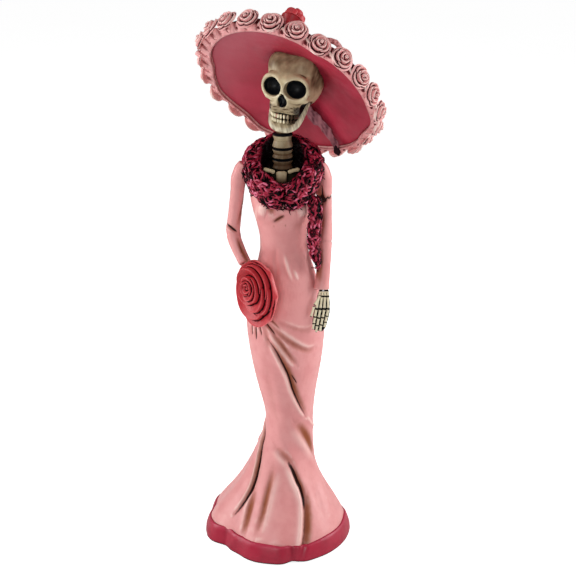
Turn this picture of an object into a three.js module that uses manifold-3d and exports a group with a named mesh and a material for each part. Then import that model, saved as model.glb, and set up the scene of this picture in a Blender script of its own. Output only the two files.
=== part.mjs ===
// Papier-mache catrina figure: a skeleton lady in a mermaid gown, built on a wooden post.
// Millimetres, +Z up, the figure faces -Y and its left hand is on the +X side.
// The origin is the centre of the underside of the felt pad.
import * as THREE from "three";
import { LoftGeometry } from "three/addons/geometries/LoftGeometry.js";
import { mergeVertices } from "three/addons/utils/BufferGeometryUtils.js";
import Module from "manifold-3d";

const wasm = await Module();
wasm.setup();

// ---- Driving dimensions -------------------------------------------------------------
const GAP = 0.3; // between pieces that touch
const RUNNING = 0.1; // between the post and what turns on it
const SHELL_WALL = 2.6; // papier-mache skin of the gown
const BOARD_BOTTOM = 1.5;
const BOARD_TOP = 8.5;
const BOARD_INSET = 5; // from the hem's outline
const FELT_INSET = 4;
const HEM_HEIGHT = 14;
const HEM_THICKNESS = 2;
const POST = { x: 4.2, y: -1, radius: 2, top: 350 }; // wooden dowel, also the head's pivot
const SCREW = { length: 15, radius: 1.3, headRadius: 3, headHeight: 2 };
const WIRE_RADIUS = 0.9;
const CORE_TOP = 262;
const CORE_RADIUS = 25;
const CHEST_TOP = 290.5;
const NECK_RADIUS = 7;
const SKULL_CENTRE = new THREE.Vector3(13.7, 2, 353.5);
const SKULL_YAW = -24; // degrees about +Z: the face turns to its right
const SKULL_ROLL = 4; // degrees about the facing direction
const CRANIUM = { side: 19, length: 23.5, height: 20.5 };
const SKULL_SEAT_Z = 336.4; // the flat on the skull's base, which rests on the top neck bone
const HAT_CENTRE = new THREE.Vector3(9.1, 4, 345.8);
const HAT_UP = new THREE.Vector3(0.411, 0.66, 0.629).normalize(); // out through the crown
const BRIM_RADIUS = 61;
const BRIM_THICKNESS = 2.4;
const EDGING_RADIUS = 64;
const CROWN = { radius: 28, height: 30.6, wall: 2.4, up: 5, side: 3 };
const ROSE_COUNT = 23;
const BRIM_ROSE = { radius: 8.4, depth: 7, rise: 2.5 };

const COLOUR = {
  gown: 0xdf9494,
  hem: 0xb93452,
  hatUnder: 0xb23a50,
  palePink: 0xeeb0ac,
  bone: 0xcdbf9b,
  darkBone: 0x24271c,
  rose: 0xc4303c,
  boa: 0x8c1d3a,
  felt: 0x151515,
  wood: 0xb58a5a,
  paper: 0xcfc9bb,
  steel: 0x9a9a9a,
  ribbon: 0x4c3a44,
};

// The gown's outside: [height, centre x, centre y, half width, half depth].
const BODY = [
  [0.8, 0, -1, 55.4, 55.6],
  [9, 0, -1, 54.6, 54.4],
  [16, 0, -1, 51.6, 51.4],
  [23, 1.5, -1, 46.6, 46.6],
  [31, 2.6, -0.5, 41, 41.2],
  [44, 3.2, 1, 32, 33],
  [58, 3.8, 1, 25.3, 27],
  [78, 7, 1, 20.3, 22.4],
  [98, 9.4, 1, 17.7, 20.2],
  [119, 7.6, 1.2, 21.5, 22],
  [146, 7, 2, 26.7, 25.4],
  [170, 6.2, 3, 29.3, 25.7],
  [190, 5.4, 2.2, 27.9, 22.8],
  [209, 5.5, 2, 23.8, 18.6],
  [226, 5.3, 2, 18, 15.4],
  [237, 4.9, 2, 16.6, 14.4],
  [249, 4.4, 1.2, 18.6, 16],
  [262, 4, 0.5, 22.4, 17.6],
  [273, 4.4, 1.5, 24, 16.2],
  [283, 5, 2.6, 25.4, 14.6],
  [289, 5.6, 3, 22, 12],
  [294, 6, 3, 13, 8],
];
const BUST = { side: 9.5, height: 262, width: 8.5, tall: 9, out: 3.8 };
// Scallops of the hem: [direction in degrees, depth, half width in degrees].
const HEM_NOTCHES = [
  [225, 8, 15],
  [285, 4, 6],
  [20, 2.5, 12],
  [75, 4, 10],
  [125, 5, 12],
];

// Arms: [x, y, z, half width, half depth] down the middle of each sleeve.
const RIGHT_ARM = [
  [-22.5, 3.5, 293, 5.2, 5.4],
  [-26.6, 4, 286, 6, 6],
  [-28.6, 4.5, 272, 5.6, 6],
  [-30.4, 4.6, 256, 5.2, 5.6],
  [-32, 4, 241, 5.4, 5.6],
  [-28.4, -0.5, 231, 5.1, 5.2],
  [-24, -4, 222.5, 4.7, 4.8],
  [-20.4, -5.6, 216, 4.9, 5],
];
const LEFT_ARM = [
  [30.5, 3.5, 293, 5, 5.4],
  [34.2, 4, 286, 5.4, 6],
  [35, 3.8, 272, 5, 5.8],
  [35.4, 2.6, 256, 4.6, 5.2],
  [35.6, 0, 239, 4.8, 5.2],
  [35.2, -4, 224, 4.5, 4.8],
  [34.4, -8, 209, 4.3, 4.6],
  [33.9, -10, 202.5, 5, 5.2],
];

// ---- Solids -------------------------------------------------------------------------
const radians = THREE.MathUtils.degToRad;

// A three.js geometry as a manifold-3d solid, with its faces turned outwards.
function solid(geometry) {
  const bare = geometry.index ? geometry.toNonIndexed() : geometry.clone();
  for (const name of ["normal", "uv"]) bare.deleteAttribute(name);
  const merged = mergeVertices(bare, 1e-4);
  const build = (triVerts) =>
    new wasm.Manifold(
      new wasm.Mesh({ numProp: 3, vertProperties: merged.attributes.position.array, triVerts }),
    );
  const triangles = new Uint32Array(merged.index.array);
  const made = build(triangles);
  return made.volume() < 0 ? build(triangles.reverse()) : made;
}

function geometryOf(manifold) {
  const { vertProperties, triVerts } = manifold.getMesh();
  const geometry = new THREE.BufferGeometry();
  geometry.setAttribute("position", new THREE.BufferAttribute(vertProperties, 3));
  geometry.setIndex(new THREE.BufferAttribute(triVerts, 1));
  geometry.computeVertexNormals();
  return geometry;
}

const placed = (geometry, matrix) => geometry.clone().applyMatrix4(matrix);
const moved = (geometry, x, y, z) => geometry.clone().translate(x, y, z);

// A profile of [radius, height] pairs turned about +Z.
function turned(profile, segments = 24) {
  const points = profile.map(([r, z]) => new THREE.Vector2(r, z));
  return new THREE.LatheGeometry(points, segments).rotateX(Math.PI / 2);
}

// A closed ring or cup: the profile comes back to its first point.
const turnedRing = (profile, segments) => turned([...profile, profile[0]], segments);

function rod(radius, bottom, top, segments = 16) {
  return turned([[0, bottom], [radius, bottom], [radius, top], [0, top]], segments);
}

function ball(rx, ry, rz, across = 20, down = 12) {
  return new THREE.SphereGeometry(1, across, down).rotateX(Math.PI / 2).scale(rx, ry, rz);
}

const curve = (points) => new THREE.CatmullRomCurve3(points.map(([x, y, z]) => new THREE.Vector3(x, y, z)));

// An oval bar along a curve through the points; its width lies along `across`.
function bar(points, halfWidths, halfDepth, options = {}) {
  const { steps = 12, sides = 8, across = new THREE.Vector3(1, 0, 0) } = options;
  const path = curve(points);
  const sections = [];
  for (let i = 0; i <= steps; i++) {
    const t = i / steps;
    const along = path.getTangent(t);
    const deep = new THREE.Vector3().crossVectors(along, across).normalize();
    const wide = new THREE.Vector3().crossVectors(deep, along).normalize();
    const place = t * (halfWidths.length - 1);
    const k = Math.min(Math.floor(place), halfWidths.length - 2);
    const half = THREE.MathUtils.lerp(halfWidths[k], halfWidths[k + 1], place - k);
    const depth = (half / Math.max(...halfWidths)) * halfDepth;
    sections.push(
      Array.from({ length: sides }, (_, j) => {
        const angle = (j / sides) * 2 * Math.PI;
        return path
          .getPoint(t)
          .addScaledVector(wide, half * Math.cos(angle))
          .addScaledVector(deep, depth * Math.sin(angle));
      }),
    );
  }
  return new LoftGeometry(sections, { capStart: true, capEnd: true });
}

// Catmull-Rom between the rows of a table whose first column is the height.
function rowAt(table, z) {
  let k = 1;
  while (k < table.length - 1 && table[k][0] < z) k++;
  const [p1, p2] = [table[k - 1], table[k]];
  const p0 = table[k - 2] ?? p1;
  const p3 = table[k + 1] ?? p2;
  const t = (z - p1[0]) / (p2[0] - p1[0]);
  const span = p2[0] - p1[0];
  return p1.map((from, i) => {
    const to = p2[i];
    const slopeFrom = ((to - p0[i]) / (p2[0] - p0[0])) * span;
    const slopeTo = ((p3[i] - from) / (p3[0] - p1[0])) * span;
    const [t2, t3] = [t * t, t * t * t];
    return (
      from * (2 * t3 - 3 * t2 + 1) +
      slopeFrom * (t3 - 2 * t2 + t) +
      to * (3 * t2 - 2 * t3) +
      slopeTo * (t3 - t2)
    );
  });
}

// ---- The gown's surface -------------------------------------------------------------
function hemNotch(angle, z) {
  const fade = THREE.MathUtils.smoothstep(75 - z, 0, 75);
  return HEM_NOTCHES.reduce((sum, [direction, depth, halfWidth]) => {
    let away = Math.abs(THREE.MathUtils.radToDeg(angle) - direction) % 360;
    away = Math.min(away, 360 - away);
    return sum + fade * depth * Math.exp(-((away / halfWidth) ** 2));
  }, 0);
}

function bustOut(x, z) {
  const [, centre] = rowAt(BODY, BUST.height);
  const bump = (side) =>
    Math.exp(-(((x - centre - side * BUST.side) / BUST.width) ** 2) - ((z - BUST.height) / BUST.tall) ** 2);
  return BUST.out * (bump(1) + bump(-1));
}

// A ring of points round the gown at height z, grown outwards by `grow`.
function gownRing(z, grow, sides) {
  const [, cx, cy, halfWidth, halfDepth] = rowAt(BODY, z);
  return Array.from({ length: sides }, (_, j) => {
    const angle = (j / sides) * 2 * Math.PI;
    const shrink = grow - hemNotch(angle, z);
    const x = cx + (halfWidth + shrink) * Math.cos(angle);
    const y = cy + (halfDepth + shrink) * Math.sin(angle);
    const front = Math.max(0, -Math.sin(angle));
    return new THREE.Vector3(x, y - front * bustOut(x, z), z);
  });
}

function gownLoft(heights, grow, sides) {
  return new LoftGeometry(
    heights.map((z) => gownRing(z, grow, sides)),
    { capStart: true, capEnd: true },
  );
}

function heightsBetween(bottom, top, step) {
  const count = Math.round((top - bottom) / step);
  return Array.from({ length: count + 1 }, (_, i) => bottom + ((top - bottom) * i) / count);
}

const OUTSIDE_HEIGHTS = [...heightsBetween(0.8, 44, 7.2), ...heightsBetween(57, 293, 13.1)];
const INSIDE_HEIGHTS = [0.5, ...heightsBetween(6, 46, 8), ...heightsBetween(60, 292, 14.5)];
const gownOutside = solid(gownLoft(OUTSIDE_HEIGHTS, 0, 32));
const gownClearance = solid(gownLoft(OUTSIDE_HEIGHTS.slice(7), GAP, 32));

// ---- Cutters shared by several pieces -----------------------------------------------
const WIRE_PATH = [
  [-16.6, -9.6, 209.5],
  [-19.6, -6, 215.4],
  ...RIGHT_ARM.slice(1, 6).reverse().map((p) => p.slice(0, 3)),
  [-15, 5, 281],
  [4, 7, 279],
  [23, 5, 281],
  ...LEFT_ARM.slice(1, 7).map((p) => p.slice(0, 3)),
  [33.9, -10, 202.5],
  [33.2, -11.6, 196.5],
];
function wireGeometry(radius) {
  const circle = new THREE.Shape().absarc(0, 0, radius, 0, 2 * Math.PI);
  return new THREE.ExtrudeGeometry(circle, {
    extrudePath: curve(WIRE_PATH),
    steps: 40,
    curveSegments: 3,
  });
}
const wireCutter = solid(wireGeometry(WIRE_RADIUS + 0.5));
const postCutter = solid(moved(rod(POST.radius + GAP, 8, POST.top + 1), POST.x, POST.y, 0));

// ---- Pieces: base and armature ------------------------------------------------------
const group = new THREE.Group();
function add(parent, name, geometry, colour, roughness = 0.75, metalness = 0) {
  const material = new THREE.MeshStandardMaterial({ color: colour, roughness, metalness });
  const mesh = new THREE.Mesh(geometry, material);
  mesh.name = name;
  parent.add(mesh);
  return mesh;
}

function hemOutline(inset) {
  return new THREE.Shape(gownRing(1, -inset, 24).map(({ x, y }) => new THREE.Vector2(x, y)));
}
const slab = (shape, bottom, top) =>
  new THREE.ExtrudeGeometry(shape, { depth: top - bottom, bevelEnabled: false }).translate(0, 0, bottom);

function screwGeometry(grow = 0) {
  const { length, radius, headRadius, headHeight } = SCREW;
  const low = BOARD_BOTTOM + 0.3 - grow;
  return moved(
    turned(
      [
        [0, low],
        [headRadius + grow, low],
        [radius + grow, low + headHeight + grow],
        [radius + grow, low + length + grow],
        [0, low + length + 1.5 + grow],
      ],
      16,
    ),
    POST.x,
    POST.y,
    0,
  );
}

add(group, "base_felt", slab(hemOutline(FELT_INSET), 0, BOARD_BOTTOM - GAP), COLOUR.felt, 0.95);
add(
  group,
  "base_board",
  geometryOf(
    solid(slab(hemOutline(BOARD_INSET), BOARD_BOTTOM, BOARD_TOP)).subtract(solid(screwGeometry(GAP))),
  ),
  COLOUR.wood,
);
add(group, "base_screw", screwGeometry(), COLOUR.steel, 0.4, 0.9);
const post = solid(
  moved(rod(POST.radius, BOARD_TOP + GAP, POST.top), POST.x, POST.y, 0),
).subtract(solid(screwGeometry(GAP)));
add(group, "spine_post", geometryOf(post), COLOUR.wood);
add(group, "arm_wire", wireGeometry(WIRE_RADIUS), COLOUR.steel, 0.4, 0.9);

// Rolled newspaper round the post: narrower than the skirt's flare, close under the bodice.
const filling = solid(gownLoft(INSIDE_HEIGHTS, -SHELL_WALL - GAP, 24)).subtract(postCutter);
const coreRoll = solid(moved(rod(CORE_RADIUS, BOARD_TOP + GAP, CORE_TOP, 24), 6.4, 1.6, 0));
add(group, "paper_core", geometryOf(filling.intersect(coreRoll)), COLOUR.paper, 0.9);

// ---- Pieces: gown -------------------------------------------------------------------
const gownInside = solid(gownLoft(INSIDE_HEIGHTS, -SHELL_WALL, 24));
const neckline = new THREE.BoxGeometry(90, 90, 40)
  .translate(0, 0, 20)
  .rotateX(radians(22))
  .translate(0, -17, 279);
const shell = gownOutside.subtract(gownInside).subtract(solid(neckline)).subtract(wireCutter);
const SEAM_Y = 1.5;
const sideBox = (from, to) =>
  solid(new THREE.BoxGeometry(160, to - from, 320).translate(0, (from + to) / 2, 160));
add(group, "gown_front", geometryOf(shell.intersect(sideBox(-80, SEAM_Y - GAP / 2))), COLOUR.gown, 0.5);
add(group, "gown_back", geometryOf(shell.intersect(sideBox(SEAM_Y + GAP / 2, 80))), COLOUR.gown, 0.5);

const hemHeights = OUTSIDE_HEIGHTS.slice(0, 3);
const hemBand = solid(gownLoft([0.8, hemHeights[1], HEM_HEIGHT], HEM_THICKNESS, 32)).subtract(
  solid(gownLoft([0.6, ...hemHeights], GAP, 32)),
);
add(group, "hem_band", geometryOf(hemBand), COLOUR.hem, 0.5);

const chest = filling
  .intersect(solid(moved(rod(60, CORE_TOP + GAP, CHEST_TOP, 8), POST.x, POST.y, 0)))
  .subtract(wireCutter);
add(group, "chest_block", geometryOf(chest), COLOUR.darkBone, 0.7);

// ---- Pieces: hip rose ---------------------------------------------------------------
// Each rose is turned about its own +Z, which points out of the bloom.
const HIP_ROSE = { at: [-14.2, -16.9, 202.5], facing: [-0.74, -0.67, 0.05], radius: 22, taller: 1.06 };

function lobed(geometry, lobes, depth) {
  const position = geometry.attributes.position;
  for (let i = 0; i < position.count; i++) {
    const [x, y] = [position.getX(i), position.getY(i)];
    const swell = 1 + depth * Math.cos(lobes * Math.atan2(y, x));
    position.setXY(i, x * swell, y * swell);
  }
  return geometry;
}

// Turns a node so that its +Z points along `direction` and its +Y as near its parent's +Z as it can.
function facing(node, at, direction) {
  const out = new THREE.Vector3(...direction).normalize();
  const across = new THREE.Vector3(0, 0, 1).cross(out).normalize();
  const upward = new THREE.Vector3().crossVectors(out, across);
  new THREE.Matrix4()
    .makeBasis(across, upward, out)
    .setPosition(...at)
    .decompose(node.position, node.quaternion, node.scale);
  node.updateMatrix();
  return node;
}

const hipRoseFrame = facing(new THREE.Object3D(), HIP_ROSE.at, HIP_ROSE.facing).matrix;
const hipRosePiece = (geometry) => solid(placed(geometry.scale(1, HIP_ROSE.taller, 1), hipRoseFrame));
const roseDisc = hipRosePiece(rod(HIP_ROSE.radius + 1.4, GAP, 20, 32));
const hipRoseProfiles = {
  hip_rose_bud: turned([[0, 0.7], [5.4, 0.7], [6.6, 5], [5.4, 9.6], [3, 12.4], [0, 12.4]], 20),
  hip_rose_inner_petals: turnedRing(
    [[7.2, 0.7], [12, 0.7], [13.8, 3.6], [12.6, 8], [9, 10.6], [7.6, 6]],
    30,
  ),
  hip_rose_outer_petals: turnedRing(
    [[14.8, 0.7], [18, 0.7], [22, 0.9], [20.8, 3], [17.4, 5.6], [15.6, 4]],
    36,
  ),
};
for (const [name, profile] of Object.entries(hipRoseProfiles)) {
  const petals = hipRosePiece(lobed(profile, 5, 0.03)).subtract(gownClearance);
  add(group, name, geometryOf(petals), COLOUR.rose, 0.45);
}

// ---- Pieces: arms and hands ---------------------------------------------------------
function sleeve(arm) {
  const path = curve(arm);
  const steps = 11;
  const sections = [];
  for (let i = 0; i <= steps; i++) {
    const t = i / steps;
    const centre = path.getPoint(t);
    const along = path.getTangent(t);
    const deep = new THREE.Vector3(0, 1, 0).addScaledVector(along, -along.y).normalize();
    const wide = new THREE.Vector3().crossVectors(deep, along).normalize();
    const place = t * (arm.length - 1);
    const k = Math.min(Math.floor(place), arm.length - 2);
    const half = (c) => THREE.MathUtils.lerp(arm[k][c], arm[k + 1][c], place - k);
    sections.push(
      Array.from({ length: 10 }, (_, j) => {
        const angle = (j / 10) * 2 * Math.PI;
        return centre
          .clone()
          .addScaledVector(wide, half(3) * Math.cos(angle))
          .addScaledVector(deep, half(4) * Math.sin(angle));
      }),
    );
  }
  return solid(new LoftGeometry(sections, { capStart: true, capEnd: true }));
}
const rightSleeve = sleeve(RIGHT_ARM).subtract(gownClearance).subtract(wireCutter).subtract(roseDisc);
const leftSleeve = sleeve(LEFT_ARM).subtract(gownClearance).subtract(wireCutter);
add(group, "right_sleeve", geometryOf(rightSleeve), COLOUR.gown, 0.5);
add(group, "left_sleeve", geometryOf(leftSleeve), COLOUR.gown, 0.5);

// A skeleton hand: a flat palm, four fingers side by side along `across`, and a thumb.
function hand({ wrist, knuckles, tips, thumb, across, spread, palmDepth }) {
  const v = (p) => new THREE.Vector3(...p);
  const side = v(across).normalize();
  const middle = v(wrist).lerp(v(knuckles), 0.5);
  const list = (point) => point.toArray();
  const shift = (point, by) => list(point.clone().addScaledVector(side, by));
  const options = { steps: 3, sides: 6, across: side };
  let whole = solid(bar([wrist, list(middle), knuckles], [3.4, 5, spread * 2], palmDepth, options));
  [-1.5, -0.5, 0.5, 1.5].forEach((place, i) => {
    const reach = [0.86, 1, 0.94, 0.78][i];
    const tip = v(knuckles).lerp(v(tips), reach);
    const points = [
      shift(middle, place * spread * 0.7),
      shift(v(knuckles), place * spread),
      shift(tip, place * spread * 0.9),
    ];
    whole = whole.add(solid(bar(points, [1.5, 1.6, 1.1], 1.5, options)));
  });
  return whole.add(solid(bar(thumb, [1.6, 1.7, 1.2], 1.6, options)));
}
const rightHand = hand({
  wrist: [-18.4, -8, 212.5],
  knuckles: [-13.4, -14, 204],
  tips: [-12.4, -17, 190],
  thumb: [[-16, -11, 210], [-11.5, -15, 209], [-8, -16.6, 206]],
  across: [0.67, -0.74, 0],
  spread: 2.6,
  palmDepth: 1.7,
});
const leftHand = hand({
  wrist: [34.4, -10.4, 201.4],
  knuckles: [32.8, -15, 187.5],
  tips: [29.8, -18.4, 172.6],
  thumb: [[32.2, -11.8, 199], [27.6, -15.4, 193], [25, -17.4, 185.4]],
  across: [1, 0, 0],
  spread: 3.2,
  palmDepth: 2.6,
});
const cuffEnd = (arm, drop) =>
  solid(moved(ball(7, 7, 7), arm.at(-1)[0], arm.at(-1)[1], arm.at(-1)[2] + drop));
const without = (whole, cutters) => cutters.reduce((rest, cutter) => rest.subtract(cutter), whole);
const rightHandCut = without(rightHand, [wireCutter, roseDisc, gownClearance, cuffEnd(RIGHT_ARM, 5)]);
const leftHandCut = without(leftHand, [wireCutter, gownClearance, cuffEnd(LEFT_ARM, 5.8)]);
add(group, "right_hand", geometryOf(rightHandCut), COLOUR.bone, 0.6);
add(group, "left_hand", geometryOf(leftHandCut), COLOUR.bone, 0.6);

// ---- Pieces: neck, collar bones and boa ---------------------------------------------
const BREASTBONE = bar([[3.2, -11, 283.8], [3.2, -8.2, 290]], [2.4, 4.4], 1.2, { steps: 2 });
const COLLAR_BONES = {
  right_collar_bone: [[-0.6, -8.8, 289.8], [-4.2, -8, 293], [-8, -5.6, 293.6]],
  left_collar_bone: [[7.6, -8.8, 289.8], [12, -8, 293], [16, -5.6, 293.6]],
};
const neckClearance = solid(moved(rod(NECK_RADIUS + GAP, CHEST_TOP, 312), POST.x, POST.y, 0));
const chestRelief = solid(gownLoft(INSIDE_HEIGHTS, -SHELL_WALL, 24)).add(neckClearance);
const breastbone = solid(BREASTBONE).subtract(chestRelief);
add(group, "breastbone", geometryOf(breastbone), COLOUR.bone, 0.6);
for (const [name, points] of Object.entries(COLLAR_BONES)) {
  const bone = solid(bar(points, [1.4, 1.5, 1.3], 1.5, { steps: 6, across: new THREE.Vector3(0, 0, 1) }));
  add(group, name, geometryOf(bone.subtract(chestRelief).subtract(breastbone)), COLOUR.bone, 0.6);
}

function neckBone(bottom, top, spigotTop) {
  const bore = POST.radius + (spigotTop ? RUNNING : GAP);
  const waist = NECK_RADIUS - 1.3;
  const middle = (bottom + top) / 2;
  const rim = 1.2;
  const upper = spigotTop
    ? [[NECK_RADIUS, top - rim], [3.4, top], [3.4, spigotTop], [bore, spigotTop]]
    : [[NECK_RADIUS, top - rim], [NECK_RADIUS - 0.6, top], [bore, top]];
  const profile = [
    [bore, bottom],
    [NECK_RADIUS - 0.6, bottom],
    [NECK_RADIUS, bottom + rim],
    [waist, middle],
    ...upper,
  ];
  return turnedRing(profile, 20);
}
const atPost = (node) => {
  node.position.set(POST.x, POST.y, 0);
  return node;
};
atPost(add(group, "neck_bone_1", neckBone(CHEST_TOP + GAP, 298.2), COLOUR.bone, 0.6));
atPost(add(group, "neck_bone_2", neckBone(298.5, 305.9), COLOUR.bone, 0.6));
atPost(add(group, "neck_bone_top", neckBone(306.2, 317.6, SKULL_SEAT_Z - GAP), COLOUR.bone, 0.6));

// The feather boa: a thick collar from the breast round the back, and a tail down the left side.
const BOA_COLLAR = [
  [4.6, -17.4, 274.5],
  [0, -17.2, 274.7],
  [-7, -14.4, 278.4],
  [-14.4, -7, 285.5],
  [-17.6, 4, 293],
  [-10, 13.5, 300.5],
  [4.6, 16.4, 303],
  [18, 13.5, 300.5],
  [26, 4, 294],
  [23.6, -8, 286.5],
  [17.4, -15, 279],
  [11, -17.4, 274.7],
  [6.4, -17.6, 274.5],
];
const BOA_TAIL = [
  [28.6, -14.6, 274],
  [30.6, -16.6, 263],
  [29.6, -15.4, 250],
  [29.4, -14, 238],
  [31.4, -13, 226],
  [33, -13, 218],
];
const grownSleeves = [sleeve(grown(RIGHT_ARM)), sleeve(grown(LEFT_ARM))];
const cutBoa = (boa) => without(boa, [gownClearance, wireCutter, neckClearance, ...grownSleeves]);
function grown(arm) {
  return arm.map(([x, y, z, halfWidth, halfDepth]) => [x, y, z, halfWidth + 0.4, halfDepth + 0.4]);
}
const UP = new THREE.Vector3(0, 0, 1);
const collarWidths = [10, 10, 9.8, 9.2, 9, 9.6, 9.8, 9.6, 9, 9.2, 9.8, 10, 10];
const boaCollar = solid(bar(BOA_COLLAR, collarWidths, 9.4, { steps: 24, sides: 10, across: UP }));
const boaTail = solid(bar(BOA_TAIL, [5.4, 5.8, 5.2, 4.8, 4, 1.6], 5.4, { steps: 8, sides: 8 }));
const collarCut = cutBoa(boaCollar).subtract(breastbone);
add(group, "boa_collar", geometryOf(collarCut), COLOUR.boa, 0.9);
add(group, "boa_tail", geometryOf(cutBoa(boaTail).subtract(boaCollar)), COLOUR.boa, 0.9);

// ---- Pieces: skull ------------------------------------------------------------------
// Head frame: origin at the middle of the cranium, -Y out of the face, +X its left, +Z up.
const head = new THREE.Group();
head.position.copy(SKULL_CENTRE);
head.rotation.set(0, radians(SKULL_ROLL), radians(SKULL_YAW), "ZYX");
head.updateMatrix();
group.add(head);
const intoHead = head.matrix.clone().invert();

const EYE = { side: 9, forward: 21, up: -1.9, radius: 6.3 };
const NOSE_UP = -10.4;
const CHEEK = { side: 13.6, forward: 13.5, up: -8 };
const PALATE_UP = -20;
const BITE_UP = -23.3; // where the teeth meet
const CHIN_UP = -32.5;
const JAW_CORNER = { side: 12.4, forward: 5, up: -21.5 };

// The face below the brow: [up, half width, forward of the middle, half depth].
const FACE = [
  [PALATE_UP, 10.4, 12, 11.4],
  [-16, 11, 12, 12],
  [-9, 13.6, 11, 12.6],
  [-3, 15.8, 9.4, 13.6],
  [4, 16.4, 7, 15],
];
function ovalLoft(rows, sides) {
  const sections = rows.map(([up, halfWidth, forward, halfDepth]) =>
    Array.from({ length: sides }, (_, j) => {
      const angle = (j / sides) * 2 * Math.PI;
      return new THREE.Vector3(halfWidth * Math.cos(angle), halfDepth * Math.sin(angle) - forward, up);
    }),
  );
  return new LoftGeometry(sections, { capStart: true, capEnd: true });
}
const cranium = (grow) =>
  ball(CRANIUM.side + grow, CRANIUM.length + grow, CRANIUM.height + grow, 20, 14);
const postInHead = (radius, top) =>
  solid(placed(moved(rod(radius, 280, top), POST.x, POST.y, 0), intoHead));
const bothSides = (make) => [1, -1].map((side) => solid(make(side)));

const skullParts = [
  solid(ovalLoft(FACE, 20)),
  ...bothSides((side) => moved(ball(4.4, 5.4, 3.4, 12, 8), side * CHEEK.side, -CHEEK.forward, CHEEK.up)),
  ...bothSides((side) =>
    bar(
      [
        [side * CHEEK.side, -CHEEK.forward, CHEEK.up],
        [side * 16.4, -7, CHEEK.up],
        [side * 16, -1, CHEEK.up + 2],
      ],
      [2, 1.8, 2],
      1.5,
      { steps: 4, sides: 6, across: UP },
    ),
  ),
];
const skullHoles = [
  ...bothSides((side) =>
    moved(ball(EYE.radius, 7, EYE.radius, 16, 10), side * EYE.side, -EYE.forward, EYE.up),
  ),
  solid(moved(ball(3.4, 4.4, 4.8, 12, 8), 0, -24.6, NOSE_UP)),
  // Hollow behind the cheekbones.
  ...bothSides((side) => moved(ball(3.4, 5, 6, 10, 8), side * 14.6, -9, -15)),
  postInHead(POST.radius + RUNNING, POST.top + 1),
  // The flat which rests on the top neck bone.
  postInHead(4, SKULL_SEAT_Z),
];
let skull = skullParts.reduce((whole, part) => whole.add(part), solid(cranium(0)));
skull = skullHoles.reduce((whole, hole) => whole.subtract(hole), skull);
add(head, "skull", geometryOf(skull), COLOUR.bone, 0.55);

// A row of teeth round the front of the mouth.
function teeth(count, bottom, top, halfWidth, forward) {
  let row = null;
  for (let i = 0; i < count; i++) {
    const angle = ((i + 0.5) / count - 0.5) * radians(150);
    const x = halfWidth * Math.sin(angle);
    const y = -(forward - 9 + 9 * Math.cos(angle));
    const tooth = new THREE.BoxGeometry(2.7, 2.2, top - bottom)
      .rotateZ(angle)
      .translate(x, y, (top + bottom) / 2);
    row = row ? row.add(solid(tooth)) : solid(tooth);
  }
  return row;
}
const upperTeeth = teeth(10, BITE_UP + 0.15, PALATE_UP - GAP, 9.4, 22.4);
const lowerTeeth = teeth(10, BITE_UP - 3.6, BITE_UP - 0.15, 9, 21.8);
add(head, "upper_teeth", geometryOf(upperTeeth.subtract(skull)), COLOUR.bone, 0.5);
add(head, "lower_teeth", geometryOf(lowerTeeth), COLOUR.bone, 0.5);

const jawBody = bar(
  [
    [-JAW_CORNER.side, -JAW_CORNER.forward, JAW_CORNER.up],
    [-10.4, -14.5, -27.4],
    [0, -20.6, CHIN_UP + 3.4],
    [10.4, -14.5, -27.4],
    [JAW_CORNER.side, -JAW_CORNER.forward, JAW_CORNER.up],
  ],
  [3, 3.6, 3.8, 3.6, 3],
  2,
  { steps: 14, across: UP },
);
const jawRamus = (side) =>
  bar(
    [
      [side * 16.6, -2, -8.5],
      [side * 15, -3, -14.5],
      [side * JAW_CORNER.side, -JAW_CORNER.forward - 0.4, JAW_CORNER.up - 0.6],
    ],
    [2, 3, 3.4],
    1.7,
    { steps: 4, across: new THREE.Vector3(0, 1, 0) },
  );
const mouthSpace = solid(moved(rod(12.4, BITE_UP - 3.6 - GAP, -14, 24), 0, -12.6, 0));
const jawSolid = bothSides(jawRamus)
  .reduce((whole, part) => whole.add(part), solid(jawBody))
  .subtract(mouthSpace)
  .subtract(postInHead(4, SKULL_SEAT_Z + 1));
add(head, "jaw", geometryOf(jawSolid.subtract(skull)), COLOUR.bone, 0.55);

// ---- Pieces: hat --------------------------------------------------------------------
// Hat frame: origin at the middle of the brim's underside, +Z out through the crown,
// +Y up the brim over the brow; `around` is measured from +Y towards +X.
const hat = new THREE.Group();
const hatX = new THREE.Vector3().crossVectors(UP, HAT_UP).normalize();
const hatY = new THREE.Vector3().crossVectors(HAT_UP, hatX);
const hatBasis = new THREE.Matrix4().makeBasis(hatX, hatY, HAT_UP).setPosition(HAT_CENTRE);
hatBasis.decompose(hat.position, hat.quaternion, hat.scale);
hat.updateMatrix();
group.add(hat);
const intoHat = hat.matrix.clone().invert();
const around = (degrees, radius, height = 0) => [
  radius * Math.sin(radians(degrees)),
  radius * Math.cos(radians(degrees)),
  height,
];

const craniumInHat = solid(placed(placed(cranium(0.4), head.matrix), intoHat));
const skullInHat = solid(placed(placed(geometryOf(skull), head.matrix), intoHat));
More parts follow.
